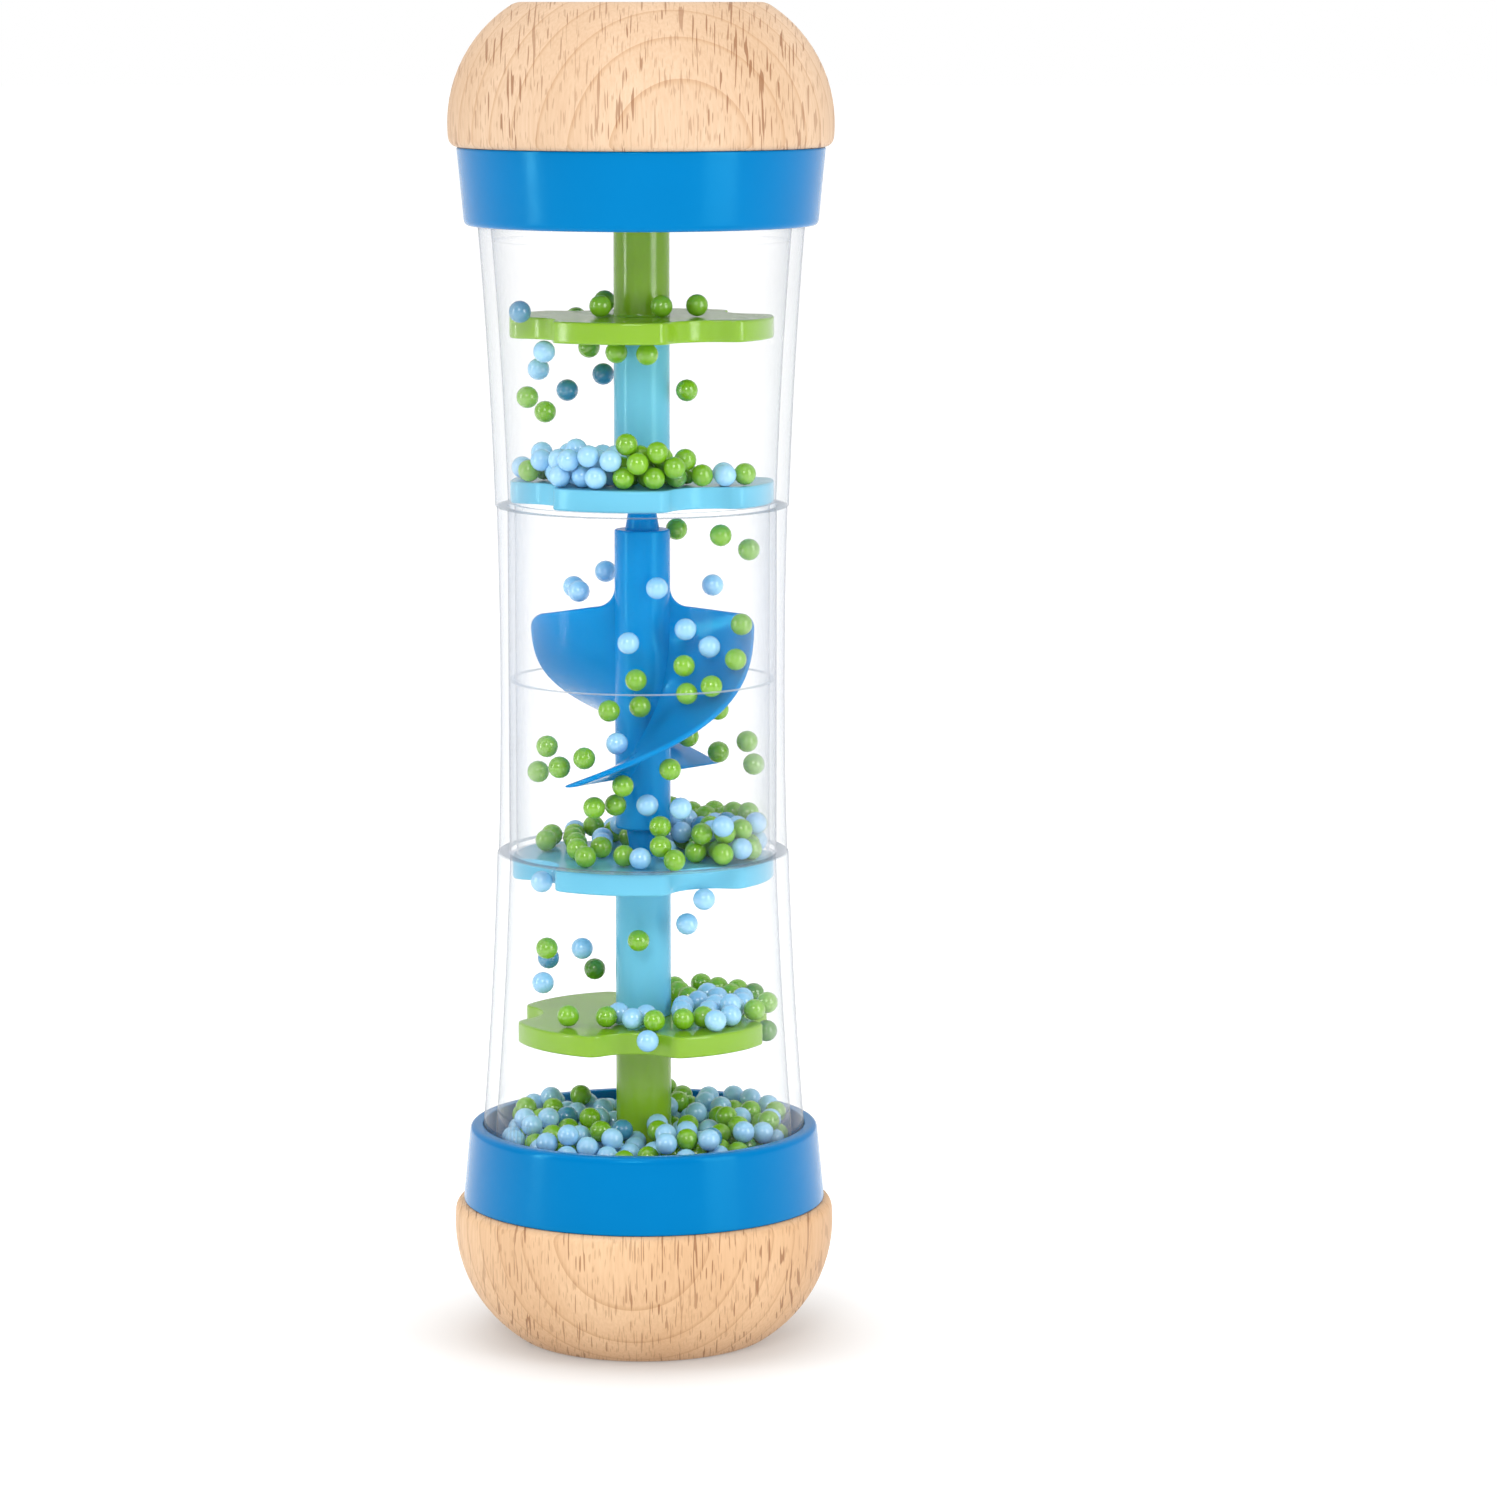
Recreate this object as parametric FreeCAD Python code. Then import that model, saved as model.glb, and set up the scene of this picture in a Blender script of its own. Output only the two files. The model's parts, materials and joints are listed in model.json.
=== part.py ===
import FreeCAD, Part
import math
import os
import random

# Rainstick: two clear flared tube halves joined by a sleeve, closed by plastic collars and turned
# wooden caps. Inside are a spindle with four scalloped discs, a spiral that spins freely between
# the two middle discs, and loose beads that trickle from chamber to chamber.
# Frame: +Z up along the tube, origin at the centre of the lower cap's rest face, millimetres.
# The two ends are the same mouldings turned over, so upper pieces mirror the lower ones.

Vector = FreeCAD.Vector
AXIS = Vector(0, 0, 1)
ORIGIN = Vector(0, 0, 0)

# ---- Driving dimensions: overall and caps ----
OVERALL_LENGTH = 200.0
CAP_DIAMETER = 57.0
CAP_HEIGHT = 21.1            # from the rest face to the seam with the collar
CAP_BELLY_DROP = 3.4         # the widest ring's distance from the seam
CAP_DOME_RADIUS = 20.5       # radius of the dome's outline
CAP_SEAM_EDGE = 1.4          # rounding of the cap's edge at the seam
CAP_END_EDGE = 0.8           # rounding of the rest face's edge
TENON_INSET = 3.2            # the tenon's radius is this much less than the collar's at the seam
TENON_HEIGHT = 5.8

# ---- Collars ----
COLLAR_HEIGHT = 11.5
CAP_LIP = 1.3                # how far the cap's widest ring stands beyond the collar
COLLAR_TAPER = 1.1           # how much wider the collar is at the seam than at the rim
COLLAR_WALL = 1.95           # at the rim, from the tube to the collar's outside
COLLAR_RIM_EDGE = 0.85
COLLAR_SEAM_EDGE = 0.3
COLLAR_SOCKET_DEPTH = 3.5    # rim down to the floor that the tube stands on
COLLAR_FLOOR = 2.0

# ---- Clear tube halves and sleeve ----
TUBE_WAIST_RADIUS = 21.4     # outer radius that the flare would have at mid length
TUBE_WALL = 1.9
FLARE_STATIONS = 8           # points that carry the flared outline
SLEEVE_LENGTH = 51.8
SLEEVE_STEP = 0.2            # how far the sleeve's surface lies inside the flare
SLEEVE_WALL = 1.2            # at mid length
SPIGOT_WALL = 1.0
LEDGE_OFFSET = 0.5           # ledge for the middle disc, below the sleeve's end
TUBE_RIB_COUNT = 6           # moulded key ribs in one row on the tube's foot
TUBE_RIB_WIDTH = 0.35
TUBE_RIB_PROUD = 0.3
TUBE_RIB_LENGTH = 5.6
TUBE_RIB_PITCH = 3.1         # degrees between ribs
TUBE_RIB_BEARING = 214.0     # middle of the row, degrees from +X

# ---- Spindle: discs and shafts ----
SHAFT_RADIUS = 4.15
SHAFT_BORE_RADIUS = 2.65
DISC_THICKNESS = 3.2
DISC_EDGE = 0.35
GREEN_DISC_HEIGHT = 45.9     # lower face of the lower green disc above the rest face
DISC_LOBES = 4
LOBE_SPAN = 55.0             # degrees of full-radius rim on each lobe
SCALLOP_DEPTH = 4.3          # how far a scallop cuts in from the rim
LOBE_CORNER = 1.5
PEG_RADIUS = 2.6
PEG_LENGTH = 5.0
UPPER_DISC_BEARING = -105.0  # direction of one lobe, degrees from +X
LOWER_BLUE_BEARING = -105.0
LOWER_GREEN_BEARING = -48.0

# ---- Spiral ----
SPIRAL_SHAFT_LENGTH = 44.8
JOURNAL_RADIUS = 2.0
JOURNAL_DEPTH = 5.0          # journal length inside the middle disc
NECK_RADIUS = 2.55           # where the neck leaves the shaft
NECK_LENGTH = 3.3
BLADE_RADIUS = 16.7
BLADE_THICKNESS = 1.2
BLADE_TWIST = 131.0          # degrees, top to bottom
BLADE_TWIST_POWER = 1.8      # above 1 the twist quickens towards the bottom
BLADE_TOP_ABOVE_MIDDLE = 10.8
BLADE_BOTTOM_BELOW_MIDDLE = 14.6
BLADE_TOP_RISE = 1.0         # the top edge climbs this much from tip to root
BLADE_TIP_ROUND = 2.2
BLADE_ROOT_FILLET = 2.8
BLADE_SECTIONS = 15
BLADE_LEAN_PLACE = 0.6       # share of the blade's radius at which its lean is taken

# ---- Cap screws ----
SCREW_HEAD_RADIUS = 2.4
SCREW_HEAD_HEIGHT = 1.6
SCREW_SHANK_RADIUS = 1.5
SCREW_LENGTH = 14.0
SCREW_SLOT_WIDTH = 0.6
SCREW_SLOT_DEPTH = 0.8
SCREW_SLOT_REACH = 1.4       # half the slot's cutter, as a share of the head's radius

# ---- Beads ----
BEAD_DIAMETER = 3.3
BEAD_GAP = 0.05
BASE_BEADS = 150
LOWER_DISC_BEADS = 30
MIDDLE_BEADS = 74
UPPER_DISC_BEADS = 52
BASE_BLUE_SHARE = 0.62       # chance that a bead is blue
LOWER_DISC_BLUE_SHARE = 0.45
MIDDLE_BLUE_SHARE = 0.34
UPPER_LEFT_BLUE_SHARE = 0.85
UPPER_RIGHT_BLUE_SHARE = 0.15
COLOUR_SEED = 101
# How each pile is poured: its seed, the steps a bead may roll, and the drops tried for each bead, of
# which the lowest is kept. A lean counts a drop as so much higher for each millimetre along X and Y.
BASE_POUR = {"seed": 11, "rolls": 6, "tries": 2}
LOWER_DISC_POUR = {"seed": 23, "rolls": 100, "tries": 4, "lean": (-0.08, 0.03)}
MIDDLE_POUR = {"seed": 31, "rolls": 5, "tries": 3, "lean": (-0.2, -0.04)}
UPPER_DISC_POUR = {"seed": 47, "rolls": 100, "tries": 8, "lean": (0.16, 0.34)}

# ---- Clearances ----
GLUE_GAP = 0.05              # radial gap of glued and plugged joints
RUNNING_GAP = 0.05           # radial gap of the spiral's journals
END_PLAY = 0.1               # axial gap of pieces that meet end to end
DISC_GAP = 0.35              # disc rim to tube wall

# ---- Derived heights in the lower half ----
HALF = OVERALL_LENGTH / 2
SEAM = CAP_HEIGHT
RIM = SEAM + COLLAR_HEIGHT
FLOOR_TOP = RIM - COLLAR_SOCKET_DEPTH
FLOOR_BOTTOM = FLOOR_TOP - COLLAR_FLOOR
SLEEVE_END = HALF - SLEEVE_LENGTH / 2
TUBE_SHOULDER = SLEEVE_END - END_PLAY
LEDGE = TUBE_SHOULDER - LEDGE_OFFSET
BLUE_DISC_TOP = LEDGE - GLUE_GAP
BLUE_DISC_HEIGHT = BLUE_DISC_TOP - DISC_THICKNESS
GREEN_DISC_TOP = GREEN_DISC_HEIGHT + DISC_THICKNESS
SPIRAL_SHAFT_END = HALF - SPIRAL_SHAFT_LENGTH / 2
BLADE_TOP = HALF + BLADE_TOP_ABOVE_MIDDLE
BLADE_BOTTOM = HALF - BLADE_BOTTOM_BELOW_MIDDLE

# ---- Derived radii ----
COLLAR_SEAM_RADIUS = CAP_DIAMETER / 2 - CAP_LIP
COLLAR_RIM_RADIUS = COLLAR_SEAM_RADIUS - COLLAR_TAPER
TENON_RADIUS = COLLAR_SEAM_RADIUS - TENON_INSET
TUBE_RIM_RADIUS = COLLAR_RIM_RADIUS - COLLAR_WALL
FLARE = TUBE_RIM_RADIUS - TUBE_WAIST_RADIUS
FLARE_ARC = ((HALF - RIM) ** 2 + FLARE ** 2) / (2 * FLARE)
SLEEVE_BORE_RADIUS = TUBE_WAIST_RADIUS - SLEEVE_STEP - SLEEVE_WALL
SPIGOT_RADIUS = SLEEVE_BORE_RADIUS - GLUE_GAP
SPIGOT_BORE_RADIUS = SPIGOT_RADIUS - SPIGOT_WALL
BEAD_RADIUS = BEAD_DIAMETER / 2


def flare_radius(z):
    """Outer radius of the flared outline at height z, an arc that is narrowest at mid length."""
    bend = math.sqrt(FLARE_ARC ** 2 - (z - HALF) ** 2)
    return TUBE_WAIST_RADIUS + FLARE_ARC - math.copysign(bend, FLARE_ARC)


def bore_radius(z):
    """Radius of the chambers' wall at height z: the flare's inside, or the spigots' bore."""
    if abs(z - HALF) < HALF - LEDGE:
        return SPIGOT_BORE_RADIUS
    return flare_radius(z) - TUBE_WALL


TUBE_FOOT_BORE_RADIUS = TUBE_RIM_RADIUS - TUBE_WALL
CHAMBER_RADIUS = min(bore_radius(z) for z in (RIM, GREEN_DISC_HEIGHT, LEDGE))
GREEN_DISC_RADIUS = CHAMBER_RADIUS - DISC_GAP
BLUE_DISC_RADIUS = flare_radius(LEDGE) - TUBE_WALL - DISC_GAP


# ---- Shape helpers ----
def point(radius, z):
    """A point of a turned outline."""
    return Vector(radius, 0, z)


def polar(radius, degrees, z):
    """A point at a radius and a bearing."""
    angle = math.radians(degrees)
    return Vector(radius * math.cos(angle), radius * math.sin(angle), z)


def line(start, end):
    return Part.LineSegment(start, end).toShape()


def flare_edge(offset, low, high):
    """The flared outline between two heights, moved outwards by offset."""
    stations = [low + (high - low) * i / FLARE_STATIONS for i in range(FLARE_STATIONS + 1)]
    curve = Part.BSplineCurve()
    curve.interpolate([point(flare_radius(z) + offset, z) for z in stations])
    return curve.toShape()


def turned(edges):
    """The solid that a closed outline sweeps around the axis."""
    wire = Part.Wire(Part.__sortEdges__(edges))
    return Part.Face(wire).revolve(ORIGIN, AXIS, 360)


def outline(points):
    """Straight edges through the points and back to the first."""
    return [line(a, b) for a, b in zip(points, points[1:] + points[:1])]


def cylinder(radius, low, high):
    return Part.makeCylinder(radius, high - low, point(0, low), AXIS)


def rounded_ring_edges(shape, radius, height, size):
    """Rounds the circular edges that lie at a radius and a height."""
    rims = [e for e in shape.Edges
            if isinstance(e.Curve, Part.Circle)
            and abs(e.Curve.Radius - radius) < 1e-4 and abs(e.Curve.Center.z - height) < 1e-4]
    return shape.makeFillet(size, rims)


def upper(shape):
    """The upper end's copy of a lower-end piece."""
    return shape.mirror(point(0, HALF), AXIS)


# ---- Wooden cap and its screw ----
def make_cap():
    """Domed beech cap: flat end, round dome, tenon that plugs into the collar."""
    radius = CAP_DIAMETER / 2
    belly = SEAM - CAP_BELLY_DROP
    centre = radius - CAP_DOME_RADIUS

    def dome(z):
        return centre + math.sqrt(CAP_DOME_RADIUS ** 2 - (belly - z) ** 2)

    end_radius = dome(0)
    seam_radius = dome(SEAM)
    edges = [
        line(point(0, 0), point(end_radius, 0)),
        Part.Arc(*[point(dome(z), z) for z in (0, belly * 0.4, belly)]).toShape(),
        Part.Arc(*[point(dome(z), z) for z in (belly, (belly + SEAM) / 2, SEAM)]).toShape(),
        line(point(seam_radius, SEAM), point(TENON_RADIUS, SEAM)),
        line(point(TENON_RADIUS, SEAM), point(TENON_RADIUS, SEAM + TENON_HEIGHT)),
        line(point(TENON_RADIUS, SEAM + TENON_HEIGHT), point(0, SEAM + TENON_HEIGHT)),
        line(point(0, SEAM + TENON_HEIGHT), point(0, 0)),
    ]
    cap = turned(edges)
    cap = rounded_ring_edges(cap, end_radius, 0, CAP_END_EDGE)
    cap = rounded_ring_edges(cap, seam_radius, SEAM, CAP_SEAM_EDGE)
    pilot_depth = SCREW_LENGTH + END_PLAY
    pilot = cylinder(SCREW_SHANK_RADIUS + GLUE_GAP, FLOOR_TOP - pilot_depth, SEAM + TENON_HEIGHT)
    return cap.cut(pilot)


def make_screw():
    """Pan-head wood screw, driven from inside the collar, with a cross recess."""
    head_top = FLOOR_TOP + SCREW_HEAD_HEIGHT
    screw = cylinder(SCREW_HEAD_RADIUS, FLOOR_TOP, head_top)
    screw = rounded_ring_edges(screw, SCREW_HEAD_RADIUS, head_top, SCREW_HEAD_HEIGHT / 2)
    tip_length = 2 * SCREW_SHANK_RADIUS
    tip = FLOOR_TOP - SCREW_LENGTH
    screw = screw.fuse(cylinder(SCREW_SHANK_RADIUS, tip + tip_length, FLOOR_TOP))
    screw = screw.fuse(Part.makeCone(0, SCREW_SHANK_RADIUS, tip_length, point(0, tip), AXIS))
    arm = SCREW_SLOT_REACH * SCREW_HEAD_RADIUS
    for turn in (0, 90):
        slot = Part.makeBox(arm, SCREW_SLOT_WIDTH, SCREW_SLOT_DEPTH,
                            Vector(-arm / 2, -SCREW_SLOT_WIDTH / 2, head_top - SCREW_SLOT_DEPTH))
        slot.rotate(ORIGIN, AXIS, turn)
        screw = screw.cut(slot)
    return screw.removeSplitter()


# ---- Collar ----
def make_collar():
    """Cup with a floor: the tube stands in its socket and the cap's tenon fills its underside."""
    socket = TUBE_RIM_RADIUS + GLUE_GAP
    recess = TENON_RADIUS + GLUE_GAP
    collar = turned(outline([
        point(recess, SEAM), point(COLLAR_SEAM_RADIUS, SEAM), point(COLLAR_RIM_RADIUS, RIM),
        point(socket, RIM), point(socket, FLOOR_TOP), point(0, FLOOR_TOP),
        point(0, FLOOR_BOTTOM), point(recess, FLOOR_BOTTOM),
    ]))
    collar = rounded_ring_edges(collar, COLLAR_RIM_RADIUS, RIM, COLLAR_RIM_EDGE)
    collar = rounded_ring_edges(collar, COLLAR_SEAM_RADIUS, SEAM, COLLAR_SEAM_EDGE)
    return collar.cut(cylinder(SCREW_SHANK_RADIUS + 2 * GLUE_GAP, FLOOR_BOTTOM, FLOOR_TOP))


# ---- Clear tube half and sleeve ----
def make_tube():
    """Flared half tube: straight foot in the collar, ledge for the middle disc, thin spigot."""
    foot_bore = TUBE_FOOT_BORE_RADIUS
    spigot_top = HALF - END_PLAY / 2
    ledge_bore = flare_radius(LEDGE) - TUBE_WALL
    edges = [
        line(point(foot_bore, FLOOR_TOP), point(TUBE_RIM_RADIUS, FLOOR_TOP)),
        line(point(TUBE_RIM_RADIUS, FLOOR_TOP), point(TUBE_RIM_RADIUS, RIM)),
        flare_edge(0, RIM, TUBE_SHOULDER),
        line(point(flare_radius(TUBE_SHOULDER), TUBE_SHOULDER), point(SPIGOT_RADIUS, TUBE_SHOULDER)),
        line(point(SPIGOT_RADIUS, TUBE_SHOULDER), point(SPIGOT_RADIUS, spigot_top)),
        line(point(SPIGOT_RADIUS, spigot_top), point(SPIGOT_BORE_RADIUS, spigot_top)),
        line(point(SPIGOT_BORE_RADIUS, spigot_top), point(SPIGOT_BORE_RADIUS, LEDGE)),
        line(point(SPIGOT_BORE_RADIUS, LEDGE), point(ledge_bore, LEDGE)),
        flare_edge(-TUBE_WALL, RIM, LEDGE),
        line(point(foot_bore, RIM), point(foot_bore, FLOOR_TOP)),
    ]
    return turned(edges)


def make_tube_ribs():
    """Row of short key ribs inside the tube's foot."""
    ribs = []
    first = TUBE_RIB_BEARING - TUBE_RIB_PITCH * (TUBE_RIB_COUNT - 1) / 2
    root = TUBE_FOOT_BORE_RADIUS + TUBE_WALL / 2
    for index in range(TUBE_RIB_COUNT):
        rib = Part.makeBox(TUBE_RIB_PROUD + TUBE_WALL / 2, TUBE_RIB_WIDTH, TUBE_RIB_LENGTH,
                           Vector(root - TUBE_RIB_PROUD - TUBE_WALL / 2, -TUBE_RIB_WIDTH / 2,
                                  FLOOR_TOP))
        rib.rotate(ORIGIN, AXIS, first + index * TUBE_RIB_PITCH)
        ribs.append(rib)
    return ribs


def make_sleeve():
    """Waisted sleeve that joins the two tube halves."""
    top = OVERALL_LENGTH - SLEEVE_END
    bore = SLEEVE_BORE_RADIUS
    end_radius = flare_radius(SLEEVE_END) - SLEEVE_STEP
    return turned([
        line(point(bore, SLEEVE_END), point(end_radius, SLEEVE_END)),
        flare_edge(-SLEEVE_STEP, SLEEVE_END, top),
        line(point(end_radius, top), point(bore, top)),
        line(point(bore, top), point(bore, SLEEVE_END)),
    ])


# ---- Spindle ----
def scalloped_disc(radius, bearing, low):
    """Disc whose rim is full-radius lobes with hollow scallops between them."""
    step = 360 / DISC_LOBES
    edges = []
    for index in range(DISC_LOBES):
        middle = bearing + index * step
        first, last = middle - LOBE_SPAN / 2, middle + LOBE_SPAN / 2
        following = first + step
        edges.append(Part.Arc(*[polar(radius, a, low) for a in (first, middle, last)]).toShape())
        edges.append(Part.Arc(polar(radius, last, low),
                              polar(radius - SCALLOP_DEPTH, middle + step / 2, low),
                              polar(radius, following, low)).toShape())
    disc = Part.Face(Part.Wire(edges)).extrude(Vector(0, 0, DISC_THICKNESS))
    corners = [e for e in disc.Edges if abs(e.Vertexes[0].Z - e.Vertexes[-1].Z) > DISC_THICKNESS / 2]
    disc = disc.makeFillet(LOBE_CORNER, corners)
    faces = (low, low + DISC_THICKNESS)
    rims = [e for e in disc.Edges if any(abs(v.Z - z) < 1e-6 for v in e.Vertexes for z in faces)
            and abs(e.Vertexes[0].Z - e.Vertexes[-1].Z) < 1e-6]
    return disc.makeFillet(DISC_EDGE, rims)


def make_green_disc(bearing):
    """Green disc on a hollow shaft that stands on the collar's floor."""
    moulding = scalloped_disc(GREEN_DISC_RADIUS, bearing, GREEN_DISC_HEIGHT)
    moulding = moulding.fuse(cylinder(SHAFT_RADIUS, FLOOR_TOP, GREEN_DISC_HEIGHT + DISC_THICKNESS / 2))
    return moulding.cut(cylinder(SHAFT_BORE_RADIUS, FLOOR_TOP, GREEN_DISC_TOP)).removeSplitter()


def make_blue_disc(bearing):
    """Light blue disc: its shaft pegs into the green disc and its face has the journal's bore."""
    moulding = scalloped_disc(BLUE_DISC_RADIUS, bearing, BLUE_DISC_HEIGHT)
    moulding = moulding.fuse(cylinder(SHAFT_RADIUS, GREEN_DISC_TOP, BLUE_DISC_HEIGHT + DISC_THICKNESS / 2))
    moulding = moulding.fuse(cylinder(PEG_RADIUS, GREEN_DISC_TOP - PEG_LENGTH, GREEN_DISC_TOP))
    bore = cylinder(JOURNAL_RADIUS + RUNNING_GAP, BLUE_DISC_TOP - JOURNAL_DEPTH - END_PLAY, BLUE_DISC_TOP)
    return moulding.cut(bore).removeSplitter()


# ---- Spiral ----
def blade_depth_share(z):
    """How far down the blade a height lies, 0 at its top and 1 at its bottom."""
    return max(0.0, (BLADE_TOP - z) / (BLADE_TOP - BLADE_BOTTOM))


def blade_bearing(z):
    """Bearing of the first blade at a height, in degrees: the twist grows as a power of depth."""
    return -BLADE_TWIST * blade_depth_share(z) ** BLADE_TWIST_POWER


def blade_section(z):
    """Level section through both blades: a bar, widened where the blades lean over."""
    span = BLADE_TOP - BLADE_BOTTOM
    rate = math.radians(BLADE_TWIST) * BLADE_TWIST_POWER / span
    slope = rate * blade_depth_share(z) ** (BLADE_TWIST_POWER - 1) * BLADE_RADIUS * BLADE_LEAN_PLACE
    half_width = BLADE_THICKNESS * math.hypot(1, slope) / 2
    reach = BLADE_RADIUS + 1
    corners = [Vector(-reach, -half_width, z), Vector(reach, -half_width, z),
               Vector(reach, half_width, z), Vector(-reach, half_width, z)]
    wire = Part.makePolygon(corners + corners[:1])
    wire.rotate(point(0, z), AXIS, blade_bearing(z))
    return wire


def blade_envelope():
    """Turned outline that trims the blades: round tips, gently rising top edge, root fillet."""
    tip_top = BLADE_TOP - BLADE_TOP_RISE
    root = SHAFT_RADIUS + BLADE_ROOT_FILLET
    crown = BLADE_TOP + BLADE_ROOT_FILLET
    tip = BLADE_RADIUS - BLADE_TIP_ROUND
    corner = BLADE_TIP_ROUND * (1 - math.sqrt(0.5))
    bend = BLADE_ROOT_FILLET * (1 - math.sqrt(0.5))
    return turned([
        line(point(0, BLADE_BOTTOM), point(BLADE_RADIUS, BLADE_BOTTOM)),
        line(point(BLADE_RADIUS, BLADE_BOTTOM), point(BLADE_RADIUS, tip_top - BLADE_TIP_ROUND)),
        Part.Arc(point(BLADE_RADIUS, tip_top - BLADE_TIP_ROUND),
                 point(BLADE_RADIUS - corner, tip_top - corner), point(tip, tip_top)).toShape(),
        line(point(tip, tip_top), point(root, BLADE_TOP)),
        Part.Arc(point(root, BLADE_TOP), point(SHAFT_RADIUS + bend, BLADE_TOP + bend),
                 point(SHAFT_RADIUS, crown)).toShape(),
        line(point(SHAFT_RADIUS, crown), point(0, crown)),
        line(point(0, crown), point(0, BLADE_BOTTOM)),
    ])


def make_spiral():
    """Spiral: two twisted blades on a shaft whose necked journals run in the middle discs."""
    low = BLADE_BOTTOM - 0.5
    high = BLADE_TOP + BLADE_ROOT_FILLET + 0.5
    levels = [low + (high - low) * i / (BLADE_SECTIONS - 1) for i in range(BLADE_SECTIONS)]
    blades = Part.makeLoft([blade_section(z) for z in levels], True, False)
    blades = blades.common(blade_envelope())
    spiral = cylinder(SHAFT_RADIUS, SPIRAL_SHAFT_END, OVERALL_LENGTH - SPIRAL_SHAFT_END)
    neck_end = SPIRAL_SHAFT_END - NECK_LENGTH
    end = turned(outline([
        point(0, BLUE_DISC_TOP - JOURNAL_DEPTH), point(JOURNAL_RADIUS, BLUE_DISC_TOP - JOURNAL_DEPTH),
        point(JOURNAL_RADIUS, neck_end), point(NECK_RADIUS, SPIRAL_SHAFT_END),
        point(0, SPIRAL_SHAFT_END),
    ]))
    return spiral.fuse([blades, end, upper(end)]).removeSplitter()


# ---- Beads ----
def disc_reach(x, y, bearing):
    """Rim radius of a green disc towards a point, with the scallop's hollow as half a sine wave."""
    step = 360 / DISC_LOBES
    off_lobe = abs((math.degrees(math.atan2(y, x)) - bearing + step / 2) % step - step / 2)
    if off_lobe <= LOBE_SPAN / 2:
        return GREEN_DISC_RADIUS
    dip = (off_lobe - LOBE_SPAN / 2) / (step / 2 - LOBE_SPAN / 2)
    return GREEN_DISC_RADIUS - SCALLOP_DEPTH * math.sin(dip * math.pi / 2)


class Pile:
    """Beads dropped one after another, each rolling down to the lowest spot near where it fell."""

    def __init__(self, floor, wall, seed, rolls, tries, lean=(0.0, 0.0), bearing=None, others=()):
        self.floor = floor
        self.others = [c for c in others if abs(c.z - floor) < 3 * BEAD_DIAMETER]
        self.inner = SHAFT_RADIUS + BEAD_RADIUS + BEAD_GAP
        self.outer = wall - BEAD_RADIUS - BEAD_GAP
        self.bearing = bearing
        self.lean = lean
        self.rolls = rolls
        self.tries = tries
        self.random = random.Random(seed)
        self.centres = []

    def holds(self, x, y):
        """Whether a bead's centre may be over this point."""
        reach = math.hypot(x, y)
        limit = self.outer
        if self.bearing is not None:
            limit = min(limit, disc_reach(x, y, self.bearing) - BEAD_GAP)
        clear = BEAD_DIAMETER + BEAD_GAP
        return self.inner <= reach <= limit and all(
            math.hypot(x - c.x, y - c.y) >= clear for c in self.others)

    def rest_height(self, x, y):
        """Height at which a bead lowered over a point meets the floor or another bead."""
        height = self.floor + BEAD_RADIUS + BEAD_GAP
        contact = BEAD_DIAMETER + BEAD_GAP
        for centre in self.centres:
            square = contact ** 2 - (centre.x - x) ** 2 - (centre.y - y) ** 2
            if square > 0:
                height = max(height, centre.z + math.sqrt(square))
        return height

    def roll(self, x, y):
        """Walks a bead downhill in shrinking steps, for at most the pile's number of rolls."""
        height = self.rest_height(x, y)
        left = self.rolls
        for step in (1.0, 0.5, 0.25, 0.1):
            moved = True
            while moved and left > 0:
                moved = False
                for turn in range(8):
                    angle = turn * math.pi / 4
                    trial = (x + step * math.cos(angle), y + step * math.sin(angle))
                    if self.holds(*trial) and self.rest_height(*trial) < height - 0.02:
                        x, y = trial
                        height = self.rest_height(x, y)
                        moved = True
                        left -= 1
                        break
        return Vector(x, y, height)

    def drop(self, count):
        """Adds beads, keeping the best of several drops for each, and gives their centres."""
        for _ in range(count):
            landed = []
            while len(landed) < self.tries:
                reach = math.sqrt(self.random.uniform(self.inner ** 2, self.outer ** 2))
                angle = self.random.uniform(0, 2 * math.pi)
                x, y = reach * math.cos(angle), reach * math.sin(angle)
                if self.holds(x, y):
                    landed.append(self.roll(x, y))
            self.centres.append(min(landed, key=lambda c: c.z + self.lean[0] * c.x + self.lean[1] * c.y))
        return self.centres


def split_colours(centres, left_share, right_share):
    """Deals beads into blue and green by the chance of blue, left of the shaft and elsewhere."""
    deal = random.Random(COLOUR_SEED)
    blue, green = [], []
    for centre in centres:
        share = left_share if centre.x < -SHAFT_RADIUS else right_share
        (blue if deal.random() < share else green).append(centre)
    return blue, green


def bead_group(centres):
    return Part.makeCompound([Part.makeSphere(BEAD_RADIUS, c) for c in centres])


# Beads caught in the air or set down by hand: distance of the centre in from the wall, bearing
# in degrees, and height of the centre above a datum, which build_nodes names for each list.
TOP_GREEN = [(12.98, 225, 1.7), (12.18, 128, 1.7), (14.18, 295, 1.7), (12.38, 336, 1.7)]
UPPER_FALLING_GREEN = [(2.99, 124, 23.1), (10.96, 143, 19.3), (13.76, 240, 19.3),
                       (11.65, 276, 19.2), (3.57, 187, 12.4), (5.45, 165, 9.8), (13.63, 343, 13.4)]
UPPER_FALLING_BLUE = [(2.13, 203, 25.3), (5.96, 198, 19.3), (5.08, 169, 16.2), (11.52, 130, 15.2),
                      (8.1, 154, 12.9)]
LOWER_FALLING_GREEN = [(12.39, 266, 12.6), (4.96, 203, 11.1), (10.44, 137, 5.6), (2.61, 354, -2.2),
                       (2.36, 359, 1.8)]
LOWER_FALLING_BLUE = [(5.91, 168, 8.0), (10.64, 160, 9.4), (5.56, 189, 5.2), (12.0, 323, 14.6),
                      (3.08, 303, 19.9), (2.82, 210, 21.6), (2.9, 273, -0.6)]
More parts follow.
